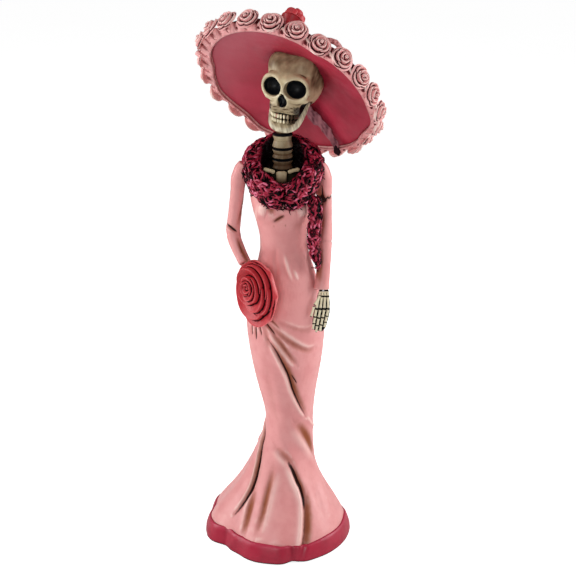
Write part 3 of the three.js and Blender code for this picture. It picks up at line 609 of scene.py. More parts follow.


# Along the creases the brown is partly the paint's own and partly painted shade, and the dark lines are painted
# shadow in the deepest valleys.
GOWN_FOLDS = [
    # From the gather below the rose down to the left knee.
    Fold([(-7, 167), (-1.7, 160), (3.5, 150), (8.2, 139.5), (11.2, 128.5), (14.7, 118.6), (20.8, 103)],
         1.9, 1.3, lip=1.1, wash=0.9, wash_width=2.9, wash_side=-0.6, ink=0.8),
    Fold([(-4, 173.5), (1.8, 166), (8.7, 156), (14.6, 147.6)], 1.3, 1.6, lip=0.8, wash=0.75, ink=0.3),
    Fold([(10.6, 140.5), (12.6, 136.5), (14.4, 133)], 0.7, 0.9, wash=0.5, ink=0.9),
    # Drapes across the left thigh.
    Fold([(-6.3, 180), (-1.7, 175.5), (6.5, 168.7), (14.6, 162.6), (21.7, 158.3), (28, 158)],
         1.0, 1.8, lip=0.7, side=-1, wash=0.65, ink=0.1),
    Fold([(-2, 183), (4.9, 179.7), (10.7, 177.2), (16.5, 174.8), (23.6, 174), (29, 177)],
         0.5, 1.5, lip=0.35, side=-1, wash=0.35),
    # Gathers under the rose.
    Fold([(-18.6, 177), (-18.8, 172), (-18.6, 167)], 1.3, 0.9, wash=0.5, ink=1.0),
    Fold([(-15.8, 178), (-15.9, 172), (-15.4, 165)], 1.3, 0.9, wash=0.5, ink=1.0),
    Fold([(-13.7, 179), (-12.4, 174), (-11.2, 169.5)], 1.2, 0.8, wash=0.5, ink=0.9),
    Fold([(-10, 181), (-5.4, 176), (-1.2, 171)], 1.3, 1.0, wash=0.8, ink=0.8),
    Fold([(-6.5, 184), (-1.6, 180), (2.4, 176)], 0.9, 0.9, wash=0.7, ink=0.5),
    Fold([(-9.5, 178), (-7.2, 168), (-6, 158)], 0.8, 2.0, wash=0.4, wash_width=2.4),
    # Down the middle of the skirt to the hem.
    Fold([(-1, 79), (3.5, 74.5), (8, 69.5), (11, 64)],
         1.0, 2.2, lip=0.8, wash=0.6, wash_width=3.2, wash_side=-0.3),
    Fold([(8.6, 67.5), (11.6, 61.6), (15.0, 53.4), (18.2, 46.6), (20.0, 40.6), (20.6, 35)],
         1.8, 2.1, lip=1.3, wash=0.95, wash_width=2.6, wash_side=-0.3, ink=1.0),
    Fold([(18.6, 46.1), (20.3, 39.8), (20.9, 33), (20.8, 23.6), (19.4, 14), (17, 4)],
         2.0, 2.0, lip=1.2, wash=0.95, wash_width=4.0, wash_side=-0.7, ink=0.45),
    # The deep fold at the right knee.
    Fold([(-8.9, 95), (-10, 85.2), (-11.9, 76.1), (-14.3, 62.5), (-18, 48), (-22.9, 37.4), (-29.1, 29.1),
          (-32.6, 24.6)], 2.6, 1.4, lip=1.2, wash=0.85, wash_width=3.2, ink=1.0),
    # Soft valleys beside it.
    Fold([(-3, 63), (-5, 55), (-8.1, 44), (-11.6, 31.1), (-15.3, 20)],
         1.5, 2.6, lip=0.8, side=-1, wash=0.9, wash_width=3.4),
    Fold([(-17.5, 44), (-20.2, 34), (-23.4, 24), (-26.2, 15)], 1.3, 2.4, lip=0.6, wash=0.95, wash_width=3.6),
    # The fold at the outside of the left knee.
    Fold([(17, 110), (21, 103.5), (25, 95), (27, 86)], -1.2, 2.4),
    Fold([(13.5, 98), (17.5, 92), (21.5, 84), (24.8, 75), (27, 66)],
         1.2, 2.8, lip=0.8, wash=1.0, wash_width=4.4, wash_side=-0.5, ink=0.2),
    Fold([(14, 95), (18.5, 82), (25, 66), (33, 46), (40, 24)], -1.0, 4.2),
    Fold([(22, 62), (28, 46), (33, 32), (36, 20)], 0.7, 3.0, wash=0.12),
    Fold([(-1.5, 100), (2, 88), (9, 74), (16, 60), (25, 40)], -0.9, 3.6),
    Fold([(-8, 150), (-6, 130), (-2.5, 110), (1, 95)], 0.7, 3.6, wash=0.2, wash_width=3.0),
    # Soft ridges over the stomach, with painted highlights on their tops.
    Fold([(5.6, 230), (6.7, 224), (8.4, 217.7), (10.8, 211.5)], -1.1, 1.4, shine=0.9),
    Fold([(12.2, 219), (13, 216.8), (15.2, 211.5)], -0.8, 1.3, shine=0.9),
    Fold([(-0.4, 236), (-0.8, 229), (-0.6, 220), (0.4, 210)], 0.7, 1.8, wash=0.12),
    Fold([(9.4, 232), (10.6, 224), (13, 217)], 0.4, 1.6, wash=0.1),
    Fold([(22, 236), (20.4, 228), (21.5, 219), (25, 209)], -0.7, 1.8),
    # The bust, with painted shade under and between the breasts and a painted highlight down its side.
    Fold([(-13, 265), (-7, 262.5)], -2.4, 5.5),
    Fold([(14, 262), (21, 264)], -2.4, 5.5),
    Fold([(-14, 256), (-7, 252.6), (-1, 254)], 0.6, 3.0, wash=0.18),
    Fold([(11, 253), (17, 252), (22, 254)], 0.6, 3.0, wash=0.3),
    Fold([(-2, 270), (-4, 266), (-2, 262)], 0.8, 2.2, wash=0.8, wash_width=3.0),
    Fold([(-12, 268), (-15, 258), (-16, 248)], 0.0, 2.0, shine=0.7),
    # Brush marks on the breast.
    Fold([(-2.4, 255.6), (1.8, 258.6), (5.8, 260.8)], 0.9, 1.7, wash=0.9, wash_width=1.7, ink=0.6),
    Fold([(5.6, 253), (6.8, 253.2)], 0.2, 0.7, wash=0.6),
    Fold([(-2.6, 252), (-1.4, 252.2)], 0.2, 0.7, wash=0.5),
]

# Brown painted shade along the arms, most down their inner sides where they lie against the body, and in the
# creases at elbow and wrist, with dark lines as painted shadow in the deepest.
SLEEVE_FOLDS = {
    "right_sleeve": [
        Fold([(-36.4, 248.6), (-33, 246.6), (-29.2, 243.8)], 1.4, 1.3, lip=0.6, wash=0.6, ink=1.0),
        Fold([(-22.6, 284), (-22.8, 274), (-24.6, 263), (-27.2, 252), (-28.6, 247)],
             0.5, 1.4, wash=0.85, wash_width=2.2),
        Fold([(-24.4, 264), (-26.4, 255)], 0.5, 0.6, wash=0.5, ink=0.6),
        Fold([(-34.6, 276), (-35.6, 266), (-37, 256)], 0.4, 1.4, wash=0.35, wash_width=2.0),
        Fold([(-28.6, 240.4), (-25.6, 232), (-21.4, 223.6), (-18.8, 218.6)],
             0.7, 1.4, wash=0.9, wash_width=2.2),
        Fold([(-27.4, 237), (-24.4, 229.4)], 0.5, 0.6, wash=0.5, ink=0.6),
        Fold([(-26, 221), (-22.4, 219.6), (-18.8, 220.6)], 0.8, 0.8, wash=0.6, ink=0.7),
    ],
    "left_sleeve": [
        Fold([(30.6, 281), (30.9, 268), (30.6, 254), (30.2, 240)], 0.4, 1.6, wash=1.0, wash_width=3.0),
        Fold([(29.6, 232), (29.4, 222), (29.6, 210)], 0.4, 1.6, wash=1.0, wash_width=3.0, ink=0.3),
        Fold([(32.2, 279), (32.6, 274), (33.8, 268.6)], 1.2, 1.0, wash=0.7, ink=0.9),
        Fold([(32.4, 236.6), (34.6, 236.4), (37.6, 237.4)], 0.9, 0.9, wash=0.6, ink=0.6),
        Fold([(32.4, 262), (32.2, 250), (31.8, 240)], 0.6, 1.6, wash=0.8, wash_width=2.6),
        Fold([(31.6, 234), (31.2, 222), (30.8, 208)], 0.5, 1.6, wash=0.85, wash_width=2.6),
    ],
}


# ---- The gown -----------------------------------------------------------------------
def cast_outline(names, heights, directions):
    """Radius of the CAD skin about the post at each height and direction; no number where nothing is hit."""
    points, triangles = cad_mesh(*names)
    tree = BVHTree.FromPolygons(points.tolist(), triangles.tolist())
    radii = np.full((len(heights), len(directions)), np.nan)
    outside = 120.0
    for j, angle in enumerate(directions):
        away = Vector((math.cos(angle), math.sin(angle), 0))
        for i, z in enumerate(heights):
            start = Vector((POST[0], POST[1], z)) + away * outside
            hit = tree.ray_cast(start, -away, outside)[0]
            if hit is not None:
                radii[i, j] = outside - (start - hit).length
    return radii


def gown_form():
    """Heights, directions, smooth radii and the height of the neckline in each direction."""
    top = box("gown_back")[1][2]
    heights = np.linspace(1.0, top, GOWN_CAST_ROWS)
    directions = np.arange(GOWN_COLUMNS) / GOWN_COLUMNS * 2 * math.pi
    radii = cast_outline(["gown_front", "gown_back"], heights, directions)
    neckline = np.array([heights[np.flatnonzero(column > 0)[-1]] for column in radii.T])
    for i in range(1, len(heights)):
        radii[i] = np.where(np.isnan(radii[i]), radii[i - 1], radii[i])
    # The seams between the two halves are filled with their neighbours.
    around = np.stack([np.roll(radii, shift, 1) for shift in range(-4, 5)])
    radii = np.median(around, axis=0)
    radii = blurred(blurred(radii, 5.5, 1, True), 3.5, 0, False)
    return heights, directions, radii, blurred(neckline, 6, 0, True)


def back_flutes(angle, z):
    """Soft flutes in the flare, all round except where the front's own folds are."""
    back = smoothstep(np.sin(angle), -0.25, 0.35)
    flare = smoothstep(-z, -95, -8)
    wave = np.cos(7 * angle + 0.6 + 0.004 * z) + 0.45 * np.cos(11 * angle + 2.1)
    return 1.5 * back * flare * wave


HEIGHTS, DIRECTIONS, GOWN_RADII, NECKLINE = gown_form()


def gown_points(rows):
    """Points (row, column, 3) of the gown's smooth outside; rows: 0 at the hem, 1 at the neckline."""
    z = HEIGHTS[0] + rows[:, None] * (NECKLINE - HEIGHTS[0])[None, :]
    radius = np.stack([np.interp(z[:, j], HEIGHTS, GOWN_RADII[:, j]) for j in range(GOWN_COLUMNS)], 1)
    radius = radius + back_flutes(DIRECTIONS[None, :], z)
    x = POST[0] + radius * np.cos(DIRECTIONS)
    y = POST[1] + radius * np.sin(DIRECTIONS)
    return np.stack([x, y, z], -1)


def pulled_in(rings, amount):
    """Rings moved towards the post."""
    middle = rings * [0, 0, 1] + np.array([POST[0], POST[1], 0])
    return rings - unit(rings - middle) * amount


def build_gown():
    """The dress as one folded skin with an inner wall; the two CAD halves meet under the paint."""
    rings = gown_points(np.linspace(0, 1, GOWN_ROWS))
    faces = [grid_faces(GOWN_ROWS, GOWN_COLUMNS)]
    flat = rings.reshape(-1, 3)
    normals = normals_of(flat, outward(flat, faces))
    push, wash, ink, light = folded(flat, normals, GOWN_FOLDS)
    push += 0.10 * ripple(flat, 16, 3) + 0.04 * ripple(flat, 5, 4)
    flat = flat + normals * push[:, None]
    groove = hollows(flat, faces, 30)
    rings = flat.reshape(rings.shape)
    lip = pulled_in(rings[-1:], GOWN_WALL / 2) + [0, 0, 0.7]
    inner = pulled_in(rings[::-18], GOWN_WALL)
    whole = np.concatenate([rings, lip, inner])
    # Brown in the hollows, partly the paint's own and partly painted shade, and a faint painted shadow just
    # above the hem; painted highlights on the ridges.
    brown = smoothstep(groove, 0.06, 0.5) * 0.55 + smoothstep(-flat[:, 2], -22, -13) * 0.12
    bright = smoothstep(-groove, 0.06, 0.4) * 0.7
    paint = {"wash": highest(wash, brown), "ink": ink, "light": highest(light, bright)}
    inside = (0, len(whole) * GOWN_COLUMNS - len(flat))
    paint = {mask: np.pad(values, inside) for mask, values in paint.items()}
    skin = whole.reshape(-1, 3), [grid_faces(len(whole), GOWN_COLUMNS, True)]
    piece("gown", skin, GOWN_PAINT, "figure", "gown", ["gown_front", "gown_back"], **paint)
    return rings


def build_hem(gown):
    """The crimson band round the foot of the gown."""
    top = HEM_TOP + 0.9 * np.cos(3 * DIRECTIONS + 0.5) + 0.5 * np.cos(7 * DIRECTIONS)
    # Section of the band: (how far out, share of the height).
    section = [(0.15, 0.0), (HEM_PROUD - 0.5, 0.0), (HEM_PROUD, 0.05), (HEM_PROUD + 0.1, 0.3),
               (HEM_PROUD - 0.1, 0.6), (HEM_PROUD - 0.3, 0.9), (HEM_PROUD - 0.7, 0.98), (0.15, 1.0),
               (0.1, 0.5)]
    sides = zip(section, section[1:] + section[:1])
    section = np.concatenate([np.linspace(start, end, 5)[:-1] for start, end in sides])
    foot = gown[:40]
    wave = np.zeros(GOWN_COLUMNS)
    for place, amount, spread in HEM_WAVES:
        wave += amount * np.exp(-((around_degrees(np.degrees(DIRECTIONS), place) / spread) ** 2))
    rings = []
    for out, share in section:
        z = 0.8 + share * (top - 0.8)
        x, y = (
            np.array([np.interp(z[j], foot[:, j, 2], foot[:, j, axis]) for j in range(GOWN_COLUMNS)])
            for axis in (0, 1)
        )
        ring = np.stack([x, y, z], -1)
        rings.append(pulled_in(ring, -(out + wave)[:, None]))
    rings = np.array(rings)
    flat = rings.reshape(-1, 3)
    skin = flat, [grid_faces(len(rings), GOWN_COLUMNS, True)]
    # Painted shadow in a dark line along the foot of the band, where it meets the floor; painted shade in the
    # dents; a painted highlight along the top of the band.
    painted_contact_shadow = smoothstep(-flat[:, 2], -2.4, -1.0)
    dents = np.tile(smoothstep(-wave, 0.5, 1.3), len(rings))
    rim = smoothstep(flat[:, 2], HEM_TOP - 3.2, HEM_TOP - 0.6)
    piece("hem", skin, HEM_PAINT, "figure", "hem", ["hem_band"],
          wash=np.maximum(painted_contact_shadow, dents * 0.3), ink=painted_contact_shadow * 0.8, light=rim * 0.35)


def build_sleeves():
    for name, folds in SLEEVE_FOLDS.items():
        points, faces = refined([name], 0.55, 14)
        if name == "left_sleeve":
            outer = box(name)[1][0]
            points[:, 0] = outer - (outer - points[:, 0]) * LEFT_SLEEVE_FULLNESS
        normals = normals_of(points, faces)
        push, wash, ink, light = folded(points, normals, folds)
        push += 0.08 * ripple(points, 12, 5)
        points = points + normals * push[:, None]
        groove = hollows(points, faces, 20)
        # Brown in the hollows, partly the paint's own and partly painted shade; painted highlights on the
        # ridges.
        piece(
            name.replace("_sleeve", "_arm_sleeve"), (points, faces), GOWN_PAINT, "figure", "gown", [name],
            wash=np.maximum(wash, smoothstep(groove, 0.05, 0.35) * 0.6), ink=ink,
            light=smoothstep(-groove, 0.1, 0.5) * 0.5,
        )


# ---- Roses --------------------------------------------------------------------------
def rose_height(radius, angle, petals):
    """Height of a bloom: the highest of its petals at each place."""
    height = np.full(radius.shape, -99.0)
    for place, half_angle, reach, lip, slope in petals:
        away = np.abs((angle - place + math.pi) % (2 * math.pi) - math.pi) / half_angle
        edge = reach * (1 - 0.22 * np.clip(away, 0, 1.3) ** 2.4)
        lift = lip - 0.22 * lip * np.clip(away, 0, 1.4) ** 2
        inside = np.clip(edge - radius, 0, None)
        outside = np.clip(radius - edge, 0, None)
        petal = lift - slope * inside - 0.4 * slope * np.clip(1.0 - inside, 0, 1) ** 2 - 7 * outside
        petal = np.where(away > 1.25, -99.0, petal)
        height = np.maximum(height, petal)
    return height


def spiral_petals(count, turn, first_reach, last_reach, top, rim, power=1.0, seed=1):
    """Petals along a spiral, from the bud outwards: direction, half angle, reach, lip height, inner slope."""
    draw = np.random.default_rng(seed)
    petals = [(0.0, 9.0, first_reach * 0.55, top * 0.97, 0.15)]
    for k in range(count):
        share = (k / (count - 1)) ** power
        reach = first_reach + (last_reach - first_reach) * share
        lip = top + (rim - top) * share**1.5 + draw.uniform(-0.02, 0.02) * top
        petals.append((k * turn + draw.uniform(-0.12, 0.12), 1.5 - 0.35 * share, reach, lip, 1.1))
    return petals


def rose_skin(petals, reach, rows, columns, floor=0.0, stalk=0.5):
    """A closed bloom about its own +Z, standing on `floor`."""
    angle = np.arange(columns) / columns * 2 * math.pi
    radius = np.linspace(0.012, 1.0, rows) ** 0.85 * reach
    grid_radius, grid_angle = np.meshgrid(radius, angle, indexing="ij")
    rim = floor + 0.25 * reach * (1 - grid_radius / reach)
    height = np.maximum(rose_height(grid_radius, grid_angle, petals), rim)
    top = np.stack([grid_radius * np.cos(grid_angle), grid_radius * np.sin(grid_angle), height], -1)
    shrink = np.linspace(0.97, stalk, 4)[:, None, None]
    under = top[-1][None] * [1, 1, 0] * shrink + [0, 0, 1] * np.full((4, 1, 1), floor - 0.2)
    return capped_grid(np.concatenate([top, under]))


def facing_axes(direction):
    """Rows: right, up and out of something that faces `direction`."""
    out = unit(direction)
    across = unit(np.cross([0, 0, 1], out))
    return np.stack([across, np.cross(out, across), out])


# Petals of the rose at the hip: (direction in degrees, half angle, reach, height of the lip, inner slope).
HIP_PETALS = [
    (0, 9.0, 0.9, 10.4, 0.0), (90, 2.2, 2.9, 12.3, 1.4), (250, 2.0, 3.4, 12.1, 1.2),
    (20, 1.7, 5.2, 12.5, 1.1), (190, 1.6, 5.8, 12.0, 1.0), (300, 1.6, 7.4, 12.0, 1.0),
    (80, 1.6, 8.2, 12.0, 0.9), (0, 1.5, 10.2, 11.2, 0.8), (230, 1.5, 10.4, 10.6, 0.8),
    (95, 1.5, 15.4, 11.2, 0.75), (320, 1.45, 14.6, 9.2, 0.7), (180, 1.4, 13.0, 9.4, 0.7),
    (60, 1.3, 18.4, 8.0, 0.6), (250, 1.4, 18.6, 7.2, 0.6), (350, 1.3, 18.0, 7.0, 0.6),
    (30, 1.25, 21.6, 4.6, 0.5), (130, 1.2, 20.6, 4.8, 0.5), (290, 1.35, 22.0, 4.6, 0.5),
    (200, 1.2, 20.8, 4.2, 0.5), (340, 1.2, 22.0, 3.4, 0.5), (75, 1.2, 21.8, 3.6, 0.5),
]
# The bud sits to one side of the middle, and the bloom is taller than wide.
EYE_SHIFT = np.array([-2.2, 4.0, 0])
HIP_ROSE_STRETCH = (1.01, 1.13, 1)


def build_hip_rose():
    low, high = box("hip_rose_outer_petals")
    axes = facing_axes(unit([-0.74, -0.67, 0.05]))
    centre = np.array([-13.2, -17.4, (low[2] + high[2]) / 2])
    petals = [(math.radians(a), h, r, lip, slope) for a, h, r, lip, slope in HIP_PETALS]
    points, faces = rose_skin(petals, HIP_ROSE_REACH, 130, 280, floor=0.9)
    inward = np.clip(1 - (points[:, 0] ** 2 + points[:, 1] ** 2) / HIP_ROSE_REACH**2, 0, 1)[:, None]
    points = (points + EYE_SHIFT * inward) * HIP_ROSE_STRETCH
    points = smoothed(points, faces, 2, 0.4)
    groove = hollows(points, faces, 14)
    # The grooves between the petals are darkened, partly the paint's own and partly painted shade, and the
    # petals' edges carry painted highlights.
    piece(
        "hip_rose", (points @ axes + centre, faces), ROSE_PAINT, "figure", "red_rose",
        ["hip_rose_bud", "hip_rose_inner_petals", "hip_rose_outer_petals"],
        wash=smoothstep(groove, -0.03, 0.1), ink=smoothstep(groove, 0.02, 0.16),
        light=smoothstep(-groove, 0.12, 0.45) * 0.8,
    )


# ---- The hat ------------------------------------------------------------------------
def edge_wave(direction):
    """How far the brim's edge stands out at a direction in degrees."""
    total = np.zeros(np.shape(direction))
    for place, amount in EDGE_WAVES:
        total += amount * np.exp(-((around_degrees(direction, place) / 9) ** 2))
    return total


def edge_at(direction):
    """Radius just outside the brim's edge."""
    return BRIM_REACH + EDGE_GAP + edge_wave(direction)


def build_brim():
    columns = 300
    direction = np.arange(columns) * 360 / columns
    share = np.linspace(0.02, 1, 60)
    under = blurred(np.interp(share * BRIM_REACH, *zip(*BRIM_SLOPE)), 3, 0, False)
    radius = share[:, None] * (BRIM_REACH + edge_wave(direction)[None] * smoothstep(share, 0.6, 1)[:, None])
    bottom = in_hat(direction[None], radius, under[:, None])
    bottom = bottom + 0.12 * ripple(bottom, 22, 8)[..., None] * HAT_AXES[2]
    top = in_hat(direction[None], radius[::-2], (under[::-2] + BRIM_THICKNESS)[:, None])
    points, faces = capped_grid(np.concatenate([bottom, top]))
    local = (points - HAT_CENTRE) @ HAT_AXES.T
    # Painted shadow of the skull on the underside round it, and painted shade growing down the slope, broken by
    # streaks of the paint; up the slope and to one side the paint is paler.
    shade = smoothstep(-np.linalg.norm(points - HEAD_CENTRE, axis=1), -34, -21) * 0.5
    paler_up_slope = smoothstep(0.75 * local[:, 0] + 0.65 * local[:, 1], 5, 60)
    streaks = 0.5 + 0.5 * ripple(points, 14, 9)
    low = smoothstep(-local[:, 1], 5, 60)
    piece(
        "brim", (points, faces), UNDERSIDE_PAINT, "head", "hat_underside", ["hat_brim"],
        wash=highest(shade, low * 0.35 * streaks), ink=0, light=paler_up_slope * 0.7,
    )


def rose_direction(index):
    """Direction in degrees at which a rose of the brim stands."""
    local = (sum(box(f"brim_rose_{index + 1:02d}")) / 2 - HAT_CENTRE) @ HAT_AXES.T
    return math.degrees(math.atan2(local[0], local[1]))


def frill():
    """Overlapping rounded petals round the brim's edge, two for each rose: skin, painted shadow with streaks of
    the paint, and painted highlight.
    """
    petals = 2 * ROSE_COUNT
    petal_columns = 18
    columns = petals * petal_columns
    turn = (np.arange(columns) + 0.5) / columns * petals
    direction = turn * 360 / petals
    within = turn % 1
    size = np.repeat(RANDOM.uniform(0.86, 1.08, petals), petal_columns)
    rounded = 0.6 + 0.4 * np.sqrt(1 - (2 * within - 1) ** 2)
    reach = np.interp(direction, *zip(*FRILL_REACH)) * size * rounded
    overlap = 2.0 * (within - 0.5)
    cup = 0.9 * np.cos(2 * math.pi * (within - 0.5))
    rings, out_share = [], []
    for share, side in [(s, 0) for s in np.linspace(0, 1, 12)] + [(s, 1) for s in np.linspace(1, 0, 12)]:
        height = -2.6 + 2.4 * share**2 + (overlap - cup) * share + side * (1.4 - 0.5 * share)
        rings.append(in_hat(direction, edge_at(direction) - 0.5 + reach * share, height))
        out_share.append(np.full(columns, share))
    points = np.array(rings).reshape(-1, 3)
    share = np.concatenate(out_share)
    within = np.tile(within, len(rings))
    # Painted shadow where each petal tucks under the next and along the petals' roots.
    between = smoothstep(-within, -0.3, 0.0) * smoothstep(share, 0.0, 0.5) * 0.75
    shadow = highest(between, smoothstep(-share, -0.22, 0.0) * 0.45)
    streaks = 0.4 * smoothstep(ripple(points, 4.2, 27), 0.1, 0.9)
    # Painted highlight near the outer rim of each petal, on the side that lies on top.
    light = smoothstep(share, 0.7, 0.95) * smoothstep(within, 0.3, 0.7) * 0.8
    return (points, [grid_faces(len(rings), columns, True)]), highest(shadow, streaks), light


def build_edging():
    """The pale rim of small petals that carries the roses, dark red in the gaps between them."""
    columns = 720
    direction = np.arange(columns) * 360 / columns
    inner = edge_at(direction)
    places = np.array([rose_direction(index) for index in range(ROSE_COUNT)])
    away = np.abs(around_degrees(direction[:, None], places)).min(1) / (180 / ROSE_COUNT)
    angle = np.radians(direction)
    scallop = 0.7 * np.abs(np.sin(1.5 * ROSE_COUNT * angle + 0.8 * np.sin(5 * angle)))
    outline = [(0.0, -0.6), (0.5, -1.2), (1.4, -1.4), (2.3, -1.2), (EDGING_WIDTH, 0.0), (EDGING_WIDTH, 3.0),
               (2.5, 5.6), (1.8, 7.2), (0.8, 7.4), (0.0, 6.0)]
    outline = curve_through(np.array(outline + outline[:1]), 0.6)[:-1]
    rings = []
    for out, height in outline:
        low = smoothstep(-height, -1.0, 1.5)
        radius = inner + out * (1 + 0.15 * scallop) + low * scallop
        rings.append(in_hat(direction, radius, height - low * scallop))
    points = np.array(rings).reshape(-1, 3)
    faces = [grid_faces(len(outline), columns, True)]
    local = (points - HAT_CENTRE) @ HAT_AXES.T
    outer = np.linalg.norm(local[:, :2], axis=1) - np.tile(inner, len(outline))
    gap = np.tile(smoothstep(away, 0.6, 0.95), len(outline))
    # Painted shade where the scallops meet.
    seam = np.tile(smoothstep(-scallop, -0.2, 0.0), len(outline))
    outside = smoothstep(outer, 1.6, 2.5) * smoothstep(local[:, 2], -1.4, 1.0)
    wash = highest(outside, gap * smoothstep(outer, 0.9, 2.0) * 0.9, seam * 0.45)
    ink = highest(outside, gap * smoothstep(outer, 1.6, 2.6)) * 0.5
    frill_skin, frill_wash, frill_light = frill()
    frill_ink = smoothstep(frill_wash, 0.6, 0.9) * 0.35
    piece(
        "edging", joined([(points, faces), frill_skin]), PALE_PAINT, "head", "hem", ["brim_edging"],
        wash=np.concatenate([wash, frill_wash]), ink=np.concatenate([ink, frill_ink]),
        light=np.concatenate([(1 - wash) * 0.3, frill_light]),
    )


def build_brim_roses():
    """Each bloom sits on the edging and faces out of the hat; no two have the same petals and turn."""
    for index in range(ROSE_COUNT):
        name = f"brim_rose_{index + 1:02d}"
        direction = rose_direction(index)
        axes = facing_axes(in_hat(direction, 1.0, 0.0) - HAT_CENTRE)
        petals = spiral_petals(8, 2.2, 1.7, 8.1, 7.2, 3.4, power=0.9, seed=index)
        points, faces = rose_skin(petals, 8.4, 46, 110, floor=1.2, stalk=0.62)
        spin = RANDOM.uniform(0, 2 * math.pi)
        points = smoothed(points, faces, 1, 0.4) @ about_z(-spin)
        groove = hollows(points, faces, 8)
        flare = np.interp(direction % 360, *zip(*ROSE_FLARE))
        start = in_hat(direction, edge_at(direction) + EDGING_WIDTH + flare, 2.5)
        # The grooves between the petals are darkened, partly the paint's own and partly painted shade, and the
        # petals' edges carry painted highlights.
        piece(
            f"rose_{index + 1:02d}", (points @ axes + start, faces), PALE_PAINT, "head", "hat_pink", [name],
            wash=smoothstep(groove, -0.02, 0.07), ink=smoothstep(groove, 0.02, 0.11),
            light=smoothstep(-groove, 0.02, 0.2) * 0.8,
        )


def build_hat_top():
    for node_name, name, paint, slot, drop in (
        ("hat_crown", "crown", PALE_PAINT, "hat_pink", 0),
        ("hat_band", "crown_band", HEM_PAINT, "hem", 0),
        ("hat_plume", "plume", PALE_PAINT, "hat_pink", PLUME_DROP),
    ):
        points, faces = refined([node_name], 0.45, 10)
        points = points + normals_of(points, faces) * (0.08 * ripple(points, 7, 6))[:, None]
        groove = hollows(points, faces, 16)
        points = points - [0, 0, drop]
        dusk = (0.45 + 0.35 * ripple(points, 3, 15)) * (drop > 0)
        # Brown in the hollows, partly the paint's own and partly painted shade, and painted highlights on the
        # ridges; the plume is darker with streaks of its own.
        piece(
            name, (points, faces), paint, "head", slot, [node_name],
            wash=highest(smoothstep(groove, 0.03, 0.4), dusk), ink=0, light=smoothstep(-groove, 0.1, 0.5),
        )


def build_ribbon():
    """The gauze ribbon under the brim and its knot at the edge."""
    line = curve_through([(*in_hat(a, r, h - 1.0), half) for a, r, h, half in RIBBON], 0.8)
    centres, half = line[None, :, :3], line[None, :, 3]
    share = np.linspace(0, 1, centres.shape[1])
    half = half * (1 + 0.12 * np.sin(22 * share) + 0.06 * np.sin(51 * share))
    centres = centres - HAT_AXES[2] * (0.35 * np.sin(17 * share))[None, :, None]
    wide = np.broadcast_to(in_hat(290, 1, 0) - HAT_CENTRE, centres.shape)
    strip = tubes(centres, wide, half, np.full(half.shape, 0.45), 24)
    knot = Clay((-5, -5, -7), (5, 5, 7), 0.3)
    knot.add(knot.ball((0, 0, 0), (2.2, 2.0, 3.6)), 0.1)
    knot.add(knot.ball((1.4, -0.6, -1.8), (1.6, 1.4, 2.6)), 0.6)
    knot.cut(knot.ring((0, 0, 0.6), (0, 0.3, 1), 2.5, 0.5), 0.4)
    lump, lump_faces = knot.skin()
    lump = lump + in_hat(200, 59.6, -4.6)
    dark = np.concatenate([0.25 + 0.35 * ripple(strip[0], 6, 12), np.ones(len(lump))])
    on_knot = np.concatenate([np.zeros(len(strip[0])), np.ones(len(lump))])
    piece("ribbon", joined([strip, (lump, lump_faces)]), RIBBON_PAINT, "head", "ribbon", ["hat_ribbon"],
          wash=dark, ink=on_knot * 0.5, light=1 - dark * 1.6)


def turned_stem(local, profile, sides=40):
    """A stem of (height, radius) rings, standing on the brim at `local`."""
    angle = np.arange(sides) / sides * 2 * math.pi
    rings = []
    for height, radius in profile:
        ring = np.stack([radius * np.cos(angle), radius * np.sin(angle), np.full(sides, height)], -1)
        rings.append((ring + [local[0], local[1], STEM_FOOT]) @ HAT_AXES + HAT_CENTRE)
    return capped_grid(curve_rings(np.array(rings)))


def build_hat_rose():
    local = (sum(box("hat_rose")) / 2 - HAT_CENTRE) @ HAT_AXES.T
    petals = spiral_petals(8, 2.3, 2.0, 7.6, 9.4, 5.0, seed=3)
    points, faces = rose_skin(petals, 8.0, 60, 120, stalk=0.35)
    groove = hollows(points, faces, 8)
    bloom = (points + [local[0], local[1], STEM_FOOT + STEM_HEIGHT]) @ HAT_AXES + HAT_CENTRE
    # The grooves between the petals are darkened, partly the paint's own and partly painted shade, and the
    # petals' edges carry painted highlights.
    piece(
        "top_rose", (bloom, faces), ROSE_PAINT, "head", "red_rose", ["hat_rose"],
        wash=smoothstep(groove, 0.0, 0.14) * 0.8, ink=smoothstep(groove, 0.08, 0.3) * 0.6,
        light=smoothstep(-groove, 0.05, 0.3) * 0.6,
    )
    stem = turned_stem(local, [(0, 3.2), (4, 3.4), (8, 5.4), (11.5, 7.4)])
    piece("top_rose_calyx", stem, ROSE_PAINT, "head", "red_rose", (), wash=0.4, ink=0, light=0)


def curve_rings(rings, steps=5):
    """Rings with smooth ones in between."""
    flat = rings.reshape(len(rings), -1)
    return curve_through(flat, np.linalg.norm(flat[1] - flat[0]) / steps).reshape(-1, *rings.shape[1:])


# ---- The skull ----------------------------------------------------------------------
def to_head(points):
    return points @ HEAD_AXES + HEAD_CENTRE


def within(points, centre, radii):
    """Distance from a centre, in units of the radii."""
    return np.linalg.norm((points - centre) / radii, axis=1)


def mirrored(action, make, soft):
    """Adds or cuts a shape on both sides of the face; `make` gets -1 or 1."""
    for side in (-1, 1):
        action(make(side), soft)


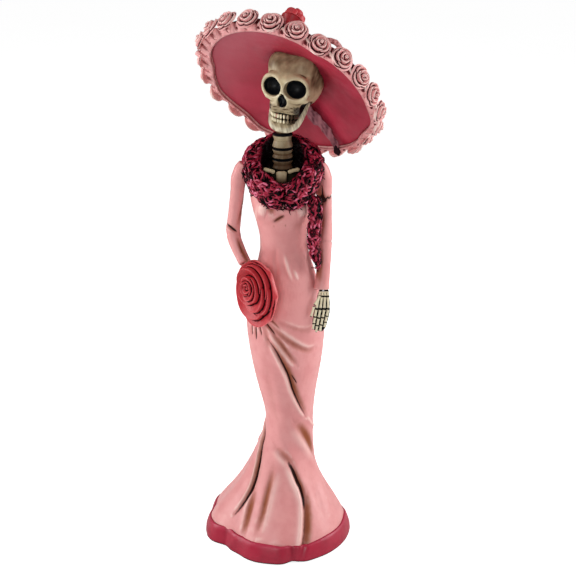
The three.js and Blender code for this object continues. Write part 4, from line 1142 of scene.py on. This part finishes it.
def build_skull():
    """Head frame: +X the head's left, -Y out of the face, +Z up, origin in the middle of the cranium."""
    clay = Clay((-22, -27, -24), (22, 26, 23), CLAY_STEP)
    clay.add(clay.ball((0, 0, 0), CRANIUM), 0.1)
    mirrored(clay.add, lambda s: clay.ball((s * 9.0, -7.2, 11.6), (8.6, 9.4, 8.8)), 4)
    clay.add(clay.ball((0, -9, -5), (15.6, 13.6, 12)), 5)
    clay.add(clay.ball((0, -13, -13), (9.6, 10.6, 9)), 3.5)
    mirrored(clay.add, lambda s: clay.rod((s * 2.5, -21.6, 3.6), (s * 13.6, -16, 3.2), 2.2, 1.9), 3)
    mirrored(clay.add, lambda s: clay.ball((s * 12.9, -14.8, -9.4), (3.5, 4.0, 2.7)), 2)
    mirrored(clay.add, lambda s: clay.rod((s * 14.0, -13.4, -8.8), (s * 15.6, -4, -6.8), 1.9, 1.4), 1.6)
    # A core in the lower face that closes the hollows behind the cheekbones; it is painted dark there as their
    # shade.
    clay.add(clay.ball((0, -6, -16.5), (11.8, 11.4, 9.5)), 1.5)
    clay.add(clay.rod((0, -20.4, 1.5), (0, -24.0, -6.2), 1.4, 1.5), 1.2)
    mirrored(clay.add, lambda s: clay.ball((s * 5.4, -14.6, -15.6), (6.4, 8.0, 6.2)), 2)
    mirrored(clay.add, lambda s: clay.ring((s * 8.7, -19.4, -1.9), (s * 0.2, -1, 0), 7.9, 1.8), 1.6)
    mirrored(clay.cut, lambda s: clay.ball((s * 8.6, -21.6, -2.0), (7.7, 9.0, 6.6)), 0.9)
    mirrored(clay.cut, lambda s: clay.ball((s * 1.7, -24.6, -11.6), (2.2, 5.0, 3.4)), 0.7)
    clay.cut(clay.ball((0, -25.0, -9.0), (2.2, 4.8, 3.8)), 0.7)
    mirrored(clay.cut, lambda s: clay.ball((s * 13.6, -11.0, -16.4), (4.6, 6.6, 5.0)), 1.2)
    mirrored(clay.cut, lambda s: clay.ball((s * 21.0, -7.5, 0.4), (3.4, 7.0, 6.5)), 3)
    points, faces = clay.skin(3)
    groove = hollows(points, faces, 14)
    # Brown in the hollows, partly the paint's own and partly painted shade.
    wash = smoothstep(groove, 0.0, 0.12) * 0.75
    socket = np.zeros(len(points))
    # The eye sockets are painted black; the hollows under the cheekbones get painted shade.
    for side in (-1, 1):
        eye = within(points, [side * 8.6, -18.6, -2.0], [7.8, 8.2, 6.7])
        cheek = within(points, [side * 13.0, -9, -17.4], [6.4, 8.4, 6.4])
        wash = highest(wash, smoothstep(-cheek, -1.2, -0.9))
        socket = highest(socket, smoothstep(-eye, -1.0, -0.9), smoothstep(-cheek, -1.08, -0.7) * 0.7)
    # The nose is painted black, and painted shade lies behind the upper teeth.
    nose = within(points, [0, -22.0, -10.8], [3.8, 4.2, 4.9])
    shade_behind_teeth = smoothstep(-points[:, 2], 18.8, 20.2)
    socket = highest(socket, smoothstep(-nose, -1.0, -0.8), shade_behind_teeth * 0.9)
    # Below the nose painted shade with brown spots of the paint, and painted shade down both sides of the
    # mouth.
    lip = smoothstep(points[:, 2], -20, -18) * smoothstep(-points[:, 2], 12, 15)
    lip = lip * smoothstep(-points[:, 1], 8, 14)
    spots = smoothstep(ripple(points, 2.2, 21), 0.1, 0.8)
    muzzle_side = smoothstep(np.abs(points[:, 0]), 6.5, 9.5) * smoothstep(-points[:, 2], 12.5, 15)
    socket = highest(socket, lip * spots * 0.45, muzzle_side * 0.6)
    # Painted shade over the top of the skull under the brim, on both temples and most on the head's left
    # temple.
    crown = smoothstep(points[:, 2], 1.5, 13)
    temples = smoothstep(np.abs(points[:, 0]), 12, 19) * smoothstep(points[:, 2], -6, 2)
    left_temple = smoothstep(points[:, 0] + 0.5 * points[:, 1], 5, 13) * smoothstep(points[:, 2], -9, 2)
    shading = highest(crown * 0.75, temples * 0.6, left_temple * 0.95) * (0.8 + 0.2 * ripple(points, 9, 2))
    wash = highest(wash, lip * (0.45 + 0.5 * spots), shading)
    # Painted highlights on the ridges, except where the painted shade under the brim lies.
    light = smoothstep(-groove, 0.02, 0.35) * (1 - crown)
    piece(
        "skull_bone", (to_head(points), faces), BONE_PAINT, "head", "bone", ["skull"],
        wash=wash, ink=socket, light=light,
    )


# Rows of teeth: (bottom, top, half width, how far forward, piece, node).
TOOTH_ROWS = [
    (-23.15, -19.6, 10.2, 22.6, "upper_tooth_row", "upper_teeth"),
    (-26.6, -23.45, 9.6, 22.0, "lower_tooth_row", "lower_teeth"),
]
TEETH_SPAN = math.radians(156)


def tooth_row(bottom, top, half_width, forward, name, node_name):
    """Uneven teeth round the front of the mouth, in the head frame."""
    teeth = []
    lobes = np.arange(14) / 14 * 2 * math.pi
    squared = np.stack([np.sign(np.cos(lobes)) * np.abs(np.cos(lobes)) ** 0.6,
                        np.sign(np.sin(lobes)) * np.abs(np.sin(lobes)) ** 0.6 * 0.9, lobes * 0], -1)
    levels = np.linspace(-1, 1, 9)
    middle, height = (top + bottom) / 2, top - bottom
    for index in range(TEETH_IN_ROW):
        angle = ((index + RANDOM.uniform(0.42, 0.58)) / TEETH_IN_ROW - 0.5) * TEETH_SPAN
        centre = [half_width * math.sin(angle), -(forward - 9 + 9 * math.cos(angle)), middle]
        half = RANDOM.uniform(0.7, 0.92) * (1 - 0.5 * np.abs(levels) ** 3.5)
        tall = height / 2 * RANDOM.uniform(0.88, 1.06)
        rings = squared[None] * half[:, None, None] + [0, 0, 1] * (levels * tall)[:, None, None]
        teeth.append(capped_grid(rings @ about_z(angle) + centre))
    points, faces = joined(teeth)
    # Painted shade at both ends of each tooth and over the teeth on the head's left; a painted highlight across
    # the middle of the others.
    share = np.abs((points[:, 2] - middle) / height * 2)
    far = smoothstep(points[:, 0], 0.1 * half_width, 0.8 * half_width)
    piece(
        name, (to_head(points), faces), BONE_PAINT, "head", "bone", [node_name],
        wash=highest(smoothstep(share, 0.6, 1.0) * 0.8, far * 0.9),
        ink=highest(smoothstep(share, 0.85, 1.05) * 0.6, far * 0.5),
        light=smoothstep(-share, -0.8, -0.2) * (1 - far),
    )


# Left half of the jaw's line, from the joint to beside the chin, and the point of the chin.
JAW_HALF = [(13.4, -6.0, -12.5), (12.6, -10.4, -18.5), (11.2, -13.8, -23.5), (9.0, -17.2, -28.0),
            (5.0, -19.8, -30.4)]
CHIN = (0, -20.6, -30.6)


def build_jaw():
    clay = Clay((-21, -26, -38), (21, 4, -4), CLAY_STEP)
    arch = curve_through([(-x, y, z) for x, y, z in JAW_HALF] + [CHIN] + JAW_HALF[::-1], 1.2)
    for start, end in zip(arch, arch[1:]):
        clay.add(clay.rod(start, end, float(np.interp(-start[1], [6, 12, 17], [0.9, 1.3, 2.0]))), 1.0)
    clay.add(clay.ball((0, -18.4, -29.2), (7.4, 3.4, 3.6)), 2)
    clay.add(clay.ball((0, -12.0, -26.8), (10, 7.6, 2.4)), 1)
    points, faces = clay.skin(3)
    groove = hollows(points, faces, 14) * 3
    # Brown in the hollows, partly the paint's own and partly painted shade, over a mottled shade across the
    # whole jaw; painted shade inside the arch behind the teeth; painted highlights on the ridges.
    shade = 0.42 + 0.3 * ripple(points, 5, 23)
    inside = smoothstep(-np.hypot(points[:, 0] / 11.4, (points[:, 1] + 8) / 11.6), -1.06, -0.92)
    shade_behind_teeth = smoothstep(points[:, 2], -28, -26.5) * inside
    piece(
        "jaw_bone", (to_head(points), faces), BONE_PAINT, "head", "bone", ["jaw"],
        wash=highest(smoothstep(groove, 0.02, 0.4) * 0.7, shade), ink=shade_behind_teeth * 0.9,
        light=smoothstep(-groove, 0.02, 0.35),
    )


# ---- Neck, chest and hands ----------------------------------------------------------
def build_neck():
    seams = [box(name)[0][2] for name in ("neck_bone_1", "neck_bone_2", "neck_bone_top")]
    seams += [seams[-1] + 10.2, seams[-1] + 17.6]
    for name, body in (("neck_bone_1", "figure"), ("neck_bone_2", "figure"), ("neck_bone_top", "neck_top")):
        points, faces = refined([name], 0.35, 8)
        points = (points - POST * [1, 1, 0]) * [1.06, 1.06, 1.0] + POST * [1, 1, 0]
        groove = hollows(points, faces, 12)
        # Painted shade growing towards the foot of the neck and on the figure's left side; the joints are
        # painted dark, two of them drawn where there is no seam; painted highlights on the ridges away from the
        # shade.
        lowness = 0.3 + 0.7 * smoothstep(-points[:, 2], -seams[-1], -seams[0] - 4)
        lowness = highest(lowness, 0.85 * smoothstep(points[:, 0] - POST[0], 1.0, 6.0))
        to_seam = np.min([np.abs(points[:, 2] - seam) for seam in seams], axis=0)
        rim = smoothstep(-to_seam, -1.25, -0.5)
        piece(
            name.replace("bone", "vertebra"), (points, faces), BONE_PAINT, body, "bone", [name],
            wash=smoothstep(groove, 0.0, 0.12) * 0.5 + lowness * 0.85 + rim * 0.8,
            ink=rim * 0.8 + lowness * 0.35, light=smoothstep(-groove, 0.05, 0.4) * (1 - lowness),
        )


# Bones of the chest: (node, line from the front and top of the breastbone, half width, half depth).
CHEST_BONES = [
    ("breastbone", [(3.4, 1.2, -8), (3.4, 0.6, -4), (3.4, 1.2, 0.8)], 4.6, 1.6),
    ("right_collar_bone", [(-1.4, 1, 0), (-4.6, 1.2, 1.2), (-9, 3, 1.8)], 1.7, 1.5),
    ("left_collar_bone", [(8.2, 1, 0), (11.4, 1.2, 1.2), (16, 3, 1.8)], 1.7, 1.5),
]


def build_chest():
    """The breastbone and the collar bones, half sunk in the dark chest."""
    low, high = box("breastbone")
    top = high[2]
    for name, line, wide, deep in CHEST_BONES:
        line = curve_through(np.array(line) + [0, low[1], top], 0.5)[None]
        share = np.linspace(-1, 1, line.shape[1])[None]
        across = (1, 0, 0) if name == "breastbone" else (0, 0, 1)
        half = wide * (0.78 + 0.22 * share**2) * (1 - share**8 * 0.5)
        points, faces = tubes(line, np.broadcast_to(across, line.shape), half, half * deep / wide, 24)
        points = points + 0.12 * ripple(points, 4, 31)[:, None]
        # Painted shade towards the foot of each bone, where it sinks into the dark chest, and along the
        # breastbone's edges.
        lowness = smoothstep(-points[:, 2], -top + 1, -top + 7)
        edge = smoothstep(np.abs(points[:, 0] - 3.4), 3.0, 4.6) * (name == "breastbone")
        piece(
            name + "_shaft", (points, faces), BONE_PAINT, "figure", "bone", [name],
            wash=0.35 + 0.5 * lowness + 0.4 * edge, ink=0.3 * lowness + 0.3 * edge, light=0,
        )


def bones(chain, wide, radius):
    """A run of bones through the joints of a chain, each swelling at its ends."""
    chain = np.asarray(chain, float)
    steps = np.linspace(0, 1, 11)
    swell = radius * (0.72 + 0.38 * np.abs(2 * steps - 1) ** 2.2)
    swell[[0, -1]] *= 0.45
    starts, ends = chain[:-1], chain[1:]
    lines = ends - starts
    starts, ends = starts + lines * 0.03, ends - lines * 0.03
    centres = starts[:, None] + (ends - starts)[:, None] * steps[None, :, None]
    widths = np.broadcast_to(swell, centres.shape[:2])
    return tubes(centres, np.broadcast_to(wide, centres.shape), widths, widths * 0.85, 12)


# Joints of the hands, the direction across the fingers and their spacing, and the side away from the body.
HANDS = {
    "right_hand": {
        "wrist": (-18.4, -8, 212.5), "knuckles": (-13.4, -14, 204), "tips": (-12.4, -17, 190),
        "thumb": [(-16, -11, 210), (-11.5, -15, 209), (-8, -16.6, 206)],
        "across": (0.67, -0.74, 0), "spread": 2.5, "away": (-0.4, -0.9, 0),
    },
    "left_hand": {
        "wrist": (34.2, -10.4, 201.6), "knuckles": (33.0, -14.6, 189), "tips": (29.8, -18.4, 172.4),
        "thumb": [(31.4, -11.8, 199), (27.0, -15.4, 192), (24.6, -17.4, 183.8)],
        "across": (1, 0, 0), "spread": 2.95, "away": (0, -1, 0.25),
    },
}
# Fingers: (place across the hand, share of the full length).
FINGERS = [(-1.5, 0.88), (-0.5, 1.0), (0.5, 0.96), (1.5, 0.8)]


def build_hand(name, wrist, knuckles, tips, thumb, across, spread, away):
    """A skeleton hand: ivory bones on a dark web."""
    wrist, knuckles, tips = (np.array(p, float) for p in (wrist, knuckles, tips))
    across = unit(across)
    lift = unit(away) * 0.45
    parts = []
    for place, reach in FINGERS:
        start = wrist + across * place * spread * 0.62 + lift
        knuckle = knuckles + across * place * spread * 0.98 + lift * (1.5 - 0.12 * place**2)
        tip = knuckles + (tips - knuckles) * reach + across * place * spread * 0.92 + lift
        carpal = start + (knuckle - start) * 0.28
        first, second = knuckle + (tip - knuckle) * 0.385, knuckle + (tip - knuckle) * 0.71
        parts.append(bones([start, carpal, knuckle, first, second, tip], across, 1.14))
    parts.append(bones(np.array(thumb) + lift, across, 1.14))
    points, faces = joined(parts)
    one_bone = np.concatenate([np.repeat(np.abs(np.linspace(-1, 1, 11)) ** 9, 12), [1, 1]])
    joints = np.tile(one_bone, len(points) // len(one_bone))
    piece(name + "_bones", (points, faces), BONE_PAINT, "figure", "bone", [name],
          wash=joints, ink=joints * 0.9, light=1 - joints)
    fingers = tips - knuckles
    palm = [wrist + (wrist - knuckles) * 0.12, wrist, (wrist + knuckles) / 2, knuckles]
    centres = curve_through([*palm, knuckles + fingers * 0.5, knuckles + fingers * 0.93], 1.6)[None]
    share = np.linspace(0, 1, centres.shape[1])
    widths = [2.2, 3.6, 5.0, spread * 1.95, spread * 1.75, 3]
    half = np.interp(share, [0, 0.1, 0.35, 0.6, 0.9, 1], widths)[None]
    web = tubes(centres, np.broadcast_to(across, centres.shape), half, np.full(half.shape, 0.5), 20)
    piece(name + "_web", web, BONE_PAINT, "figure", "bone", (), wash=1, ink=0.8, light=0)


# ---- The boa ------------------------------------------------------------------------
def nape_roll():
    """The roll of fringe under the collar that closes it against the gown's back."""
    angle = np.linspace(-1.9, 1.9, 110)
    round_neck = np.sin(angle)[:, None] * BOA_AXES[0] + np.cos(angle)[:, None] * BOA_AXES[1]
    line = (BOA_CENTRE + 17.5 * round_neck - [0, 0, 8])[None]
    half = 6.8 * np.cos(0.62 * angle)[None]
    return tubes(line, np.broadcast_to(BOA_AXES[2], line.shape), half, half, 72)


def build_boa(node_name, name, strand_count, along_at, more=(), size=1.0, move=(0, 0, 0)):
    """A core painted dark as the shade deep between the strands, with leaf-like strands of fringe lying along
    it.
    """
    core, core_faces = joined([refined([node_name], 0.8, 8, shrink=0.9), *more])
    core = core + np.array(move)
    core = core + normals_of(core, core_faces) * (0.35 * ripple(core, 4.5, 7))[:, None]
    normals = normals_of(core, core_faces)
    picks = RANDOM.choice(len(core), strand_count, replace=strand_count > len(core))
    base, out = core[picks], normals[picks]
    along = along_at(base)
    along = unit(along - out * (along * out).sum(1, keepdims=True))
    side = np.cross(out, along)
    lean = RANDOM.normal(0, 0.55, (strand_count, 1))
    heading = unit(along * np.cos(lean) + side * np.sin(lean))
    sideways = np.cross(out, heading)
    steps = np.linspace(0, 1, 9)[None, :, None]
    each = (strand_count, 1, 1)
    length = size * RANDOM.uniform(6.5, 11.5, each)
    bend = RANDOM.normal(0, 1.5, each)
    wave = RANDOM.uniform(0.2, 0.6, each)
    phase = RANDOM.uniform(0, 6.3, each)
    rise = RANDOM.uniform(0.3, 1.5, each)
    from_middle = (2 * steps - 1) ** 2
    lift = rise * np.sin(np.pi * np.clip(steps * 0.8 + 0.15, 0, 1)) - 0.3 - 0.1 * length * from_middle
    centres = (
        base[:, None]
        + heading[:, None] * (steps - 0.5) * length
        + sideways[:, None] * (bend * from_middle + wave * np.sin(9 * steps + phase))
        + out[:, None] * lift
    )
    fullness = np.sin(np.pi * np.linspace(0.05, 0.97, 9)) ** 0.7
    half = RANDOM.uniform(0.55, 0.95, (strand_count, 1)) * fullness
    wide = np.broadcast_to(sideways[:, None], centres.shape)
    strands, strand_faces = tubes(centres, wide, half, half * 0.62)
    per_strand = len(strands) // strand_count
    tone = np.repeat(RANDOM.uniform(0, 1, strand_count), per_strand)
    height = ((strands - np.repeat(base, per_strand, 0)) * np.repeat(out, per_strand, 0)).sum(1)
    from_neck = np.linalg.norm(strands[:, :2] - POST[:2], axis=1)
    shade = smoothstep(-from_neck, -18.5, -13.5) * smoothstep(strands[:, 1], -16, -8)
    # Painted shade on the strands' low parts among the others and on the inner ring by the neck; some strands
    # are dark of their own; painted highlights on the raised parts of the palest.
    wash = highest(shade, smoothstep(-height, -0.9, 0.5) * 0.8, (tone < 0.36) * 0.85)
    ink = highest(shade * 0.75, smoothstep(-height, -0.3, 0.7) * 0.8, (tone < 0.18) * 0.8)
    light = smoothstep(height, 0.7, 1.7) * (tone > 0.6) * (1 - shade) * 0.95
    # The core is painted fully dark as the shade between the strands.
    core_first = (len(core), 0)
    piece(
        name, joined([(core, core_faces), (strands, strand_faces)]), BOA_PAINT, "figure", "boa", [node_name],
        wash=np.pad(wash, core_first, constant_values=1), ink=np.pad(ink, core_first, constant_values=1),
        light=np.pad(light, core_first),
    )


def around_neck(points):
    """Along the collar: round the post, in the plane of the boa."""
    return np.cross(BOA_AXES[2], points - BOA_CENTRE)


# ---- Inside pieces ------------------------------------------------------------------
def plain_surface(name, base, shade, roughness, metallic=0.0, scale=300, stretch=(1, 1, 1), bump=0.3):
    """Unpainted stuff: one colour clouded with another, with a grain; colours as linear light."""
    material, tree, surface = new_material(name)
    pattern = noise(tree, scale, 8.0, stretch)
    tree.links.new(mixed(tree, ramp(tree, pattern, 0.35, 0.7), base, shade), surface.inputs["Base Color"])
    surface.inputs["Roughness"].default_value = roughness
    surface.inputs["Metallic"].default_value = metallic
    emboss(tree, surface, pattern, bump, 0.0005)
    return material


def finish_inside_pieces():
    wood = plain_surface(
        "bare_wood", srgb(196, 156, 108), srgb(160, 118, 74), 0.7, scale=60, stretch=(8, 8, 0.6)
    )
    felt = plain_surface("black_felt", srgb(26, 26, 28), srgb(44, 44, 46), 1.0, scale=1800, bump=0.8)
    steel = plain_surface("bare_steel", srgb(170, 170, 172), srgb(120, 120, 124), 0.35, metallic=1.0)
    paper = plain_surface(
        "newsprint", srgb(206, 200, 186), srgb(168, 162, 150), 0.9, scale=120, stretch=(1, 1, 5)
    )
    flesh = plain_surface("dark_chest", srgb(34, 32, 18), srgb(14, 14, 8), 0.8, scale=160)
    flesh.node_tree.nodes["Principled BSDF"].inputs["Specular IOR Level"].default_value = 0.1
    for material, names in (
        (wood, ["base_board", "spine_post"]),
        (felt, ["base_felt"]),
        (steel, ["base_screw", "arm_wire"]),
        (paper, ["paper_core"]),
        (flesh, ["chest_block"]),
    ):
        for name in names:
            NODES[name].data.materials.clear()
            NODES[name].data.materials.append(material)


# ---- Stage --------------------------------------------------------------------------
def seen_only(tree, socket, seen, otherwise):
    """Gives the socket one value where the camera looks and another for the light it throws."""
    path = tree.nodes.new("ShaderNodeLightPath")
    tree.links.new(ranged(tree, path.outputs["Is Camera Ray"], 0.0, 1.0, otherwise, seen), socket)


def aimed(name, data, place):
    """A camera or light at a place in millimetres, looking at the figure."""
    made = bpy.data.objects.new(name, data)
    bpy.context.scene.collection.objects.link(made)
    made.location = Vector(place) * MM
    made.rotation_mode = "QUATERNION"
    made.rotation_quaternion = (Vector(CAMERA_TARGET) * MM - made.location).to_track_quat("-Z", "Y")
    return made


def build_stage():
    scene = bpy.context.scene
    reach = 6000.0
    floor_mesh = bpy.data.meshes.new("floor")
    corners = [(-reach, -reach, -0.5), (reach, -reach, -0.5), (reach, reach, -0.5), (-reach, reach, -0.5)]
    floor_mesh.from_pydata([tuple(v * MM for v in corner) for corner in corners], [], [(0, 1, 2, 3)])
    floor = bpy.data.objects.new("floor", floor_mesh)
    scene.collection.objects.link(floor)
    paint = plain_surface("floor_paint", (0.9, 0.9, 0.9), (0.88, 0.88, 0.88), 0.9, scale=2, bump=0.0)
    glow = paint.node_tree.nodes["Principled BSDF"].inputs
    glow["Emission Color"].default_value = (1, 1, 1, 1)
    seen_only(paint.node_tree, glow["Emission Strength"], 0.8, 0.0)
    floor_mesh.materials.append(paint)

    camera_data = bpy.data.cameras.new("camera")
    camera_data.lens = CAMERA_LENS
    camera_data.sensor_width = CAMERA_SENSOR
    scene.camera = aimed("camera", camera_data, CAMERA_PLACE)
    for name, place, size, power in SOFTBOXES:
        data = bpy.data.lights.new(name, "AREA")
        data.size = size * MM
        data.energy = power
        aimed(name, data, place)

    world = bpy.data.worlds.new("studio")
    world.use_nodes = True
    world.node_tree.nodes["Background"].inputs["Color"].default_value = (1, 1, 1, 1)
    seen_only(world.node_tree, world.node_tree.nodes["Background"].inputs["Strength"], 1.0, 0.2)
    scene.world = world
    scene.view_settings.view_transform = "Standard"
    scene.view_settings.look = "None"


gown = build_gown()
build_hem(gown)
build_sleeves()
build_hip_rose()
build_brim()
build_edging()
build_brim_roses()
build_hat_top()
build_hat_rose()
build_ribbon()
build_skull()
for row in TOOTH_ROWS:
    tooth_row(*row)
build_jaw()
build_neck()
build_chest()
for hand_name, joints in HANDS.items():
    build_hand(hand_name, **joints)
build_boa("boa_collar", "boa_fringe", 2500, around_neck, [nape_roll()])
build_boa("boa_tail", "boa_tail_fringe", 300, lambda points: np.broadcast_to([0.1, 0.0, -1.0], points.shape),
          size=0.8, move=(-2.9, 0, 0))
finish_inside_pieces()
build_stage()
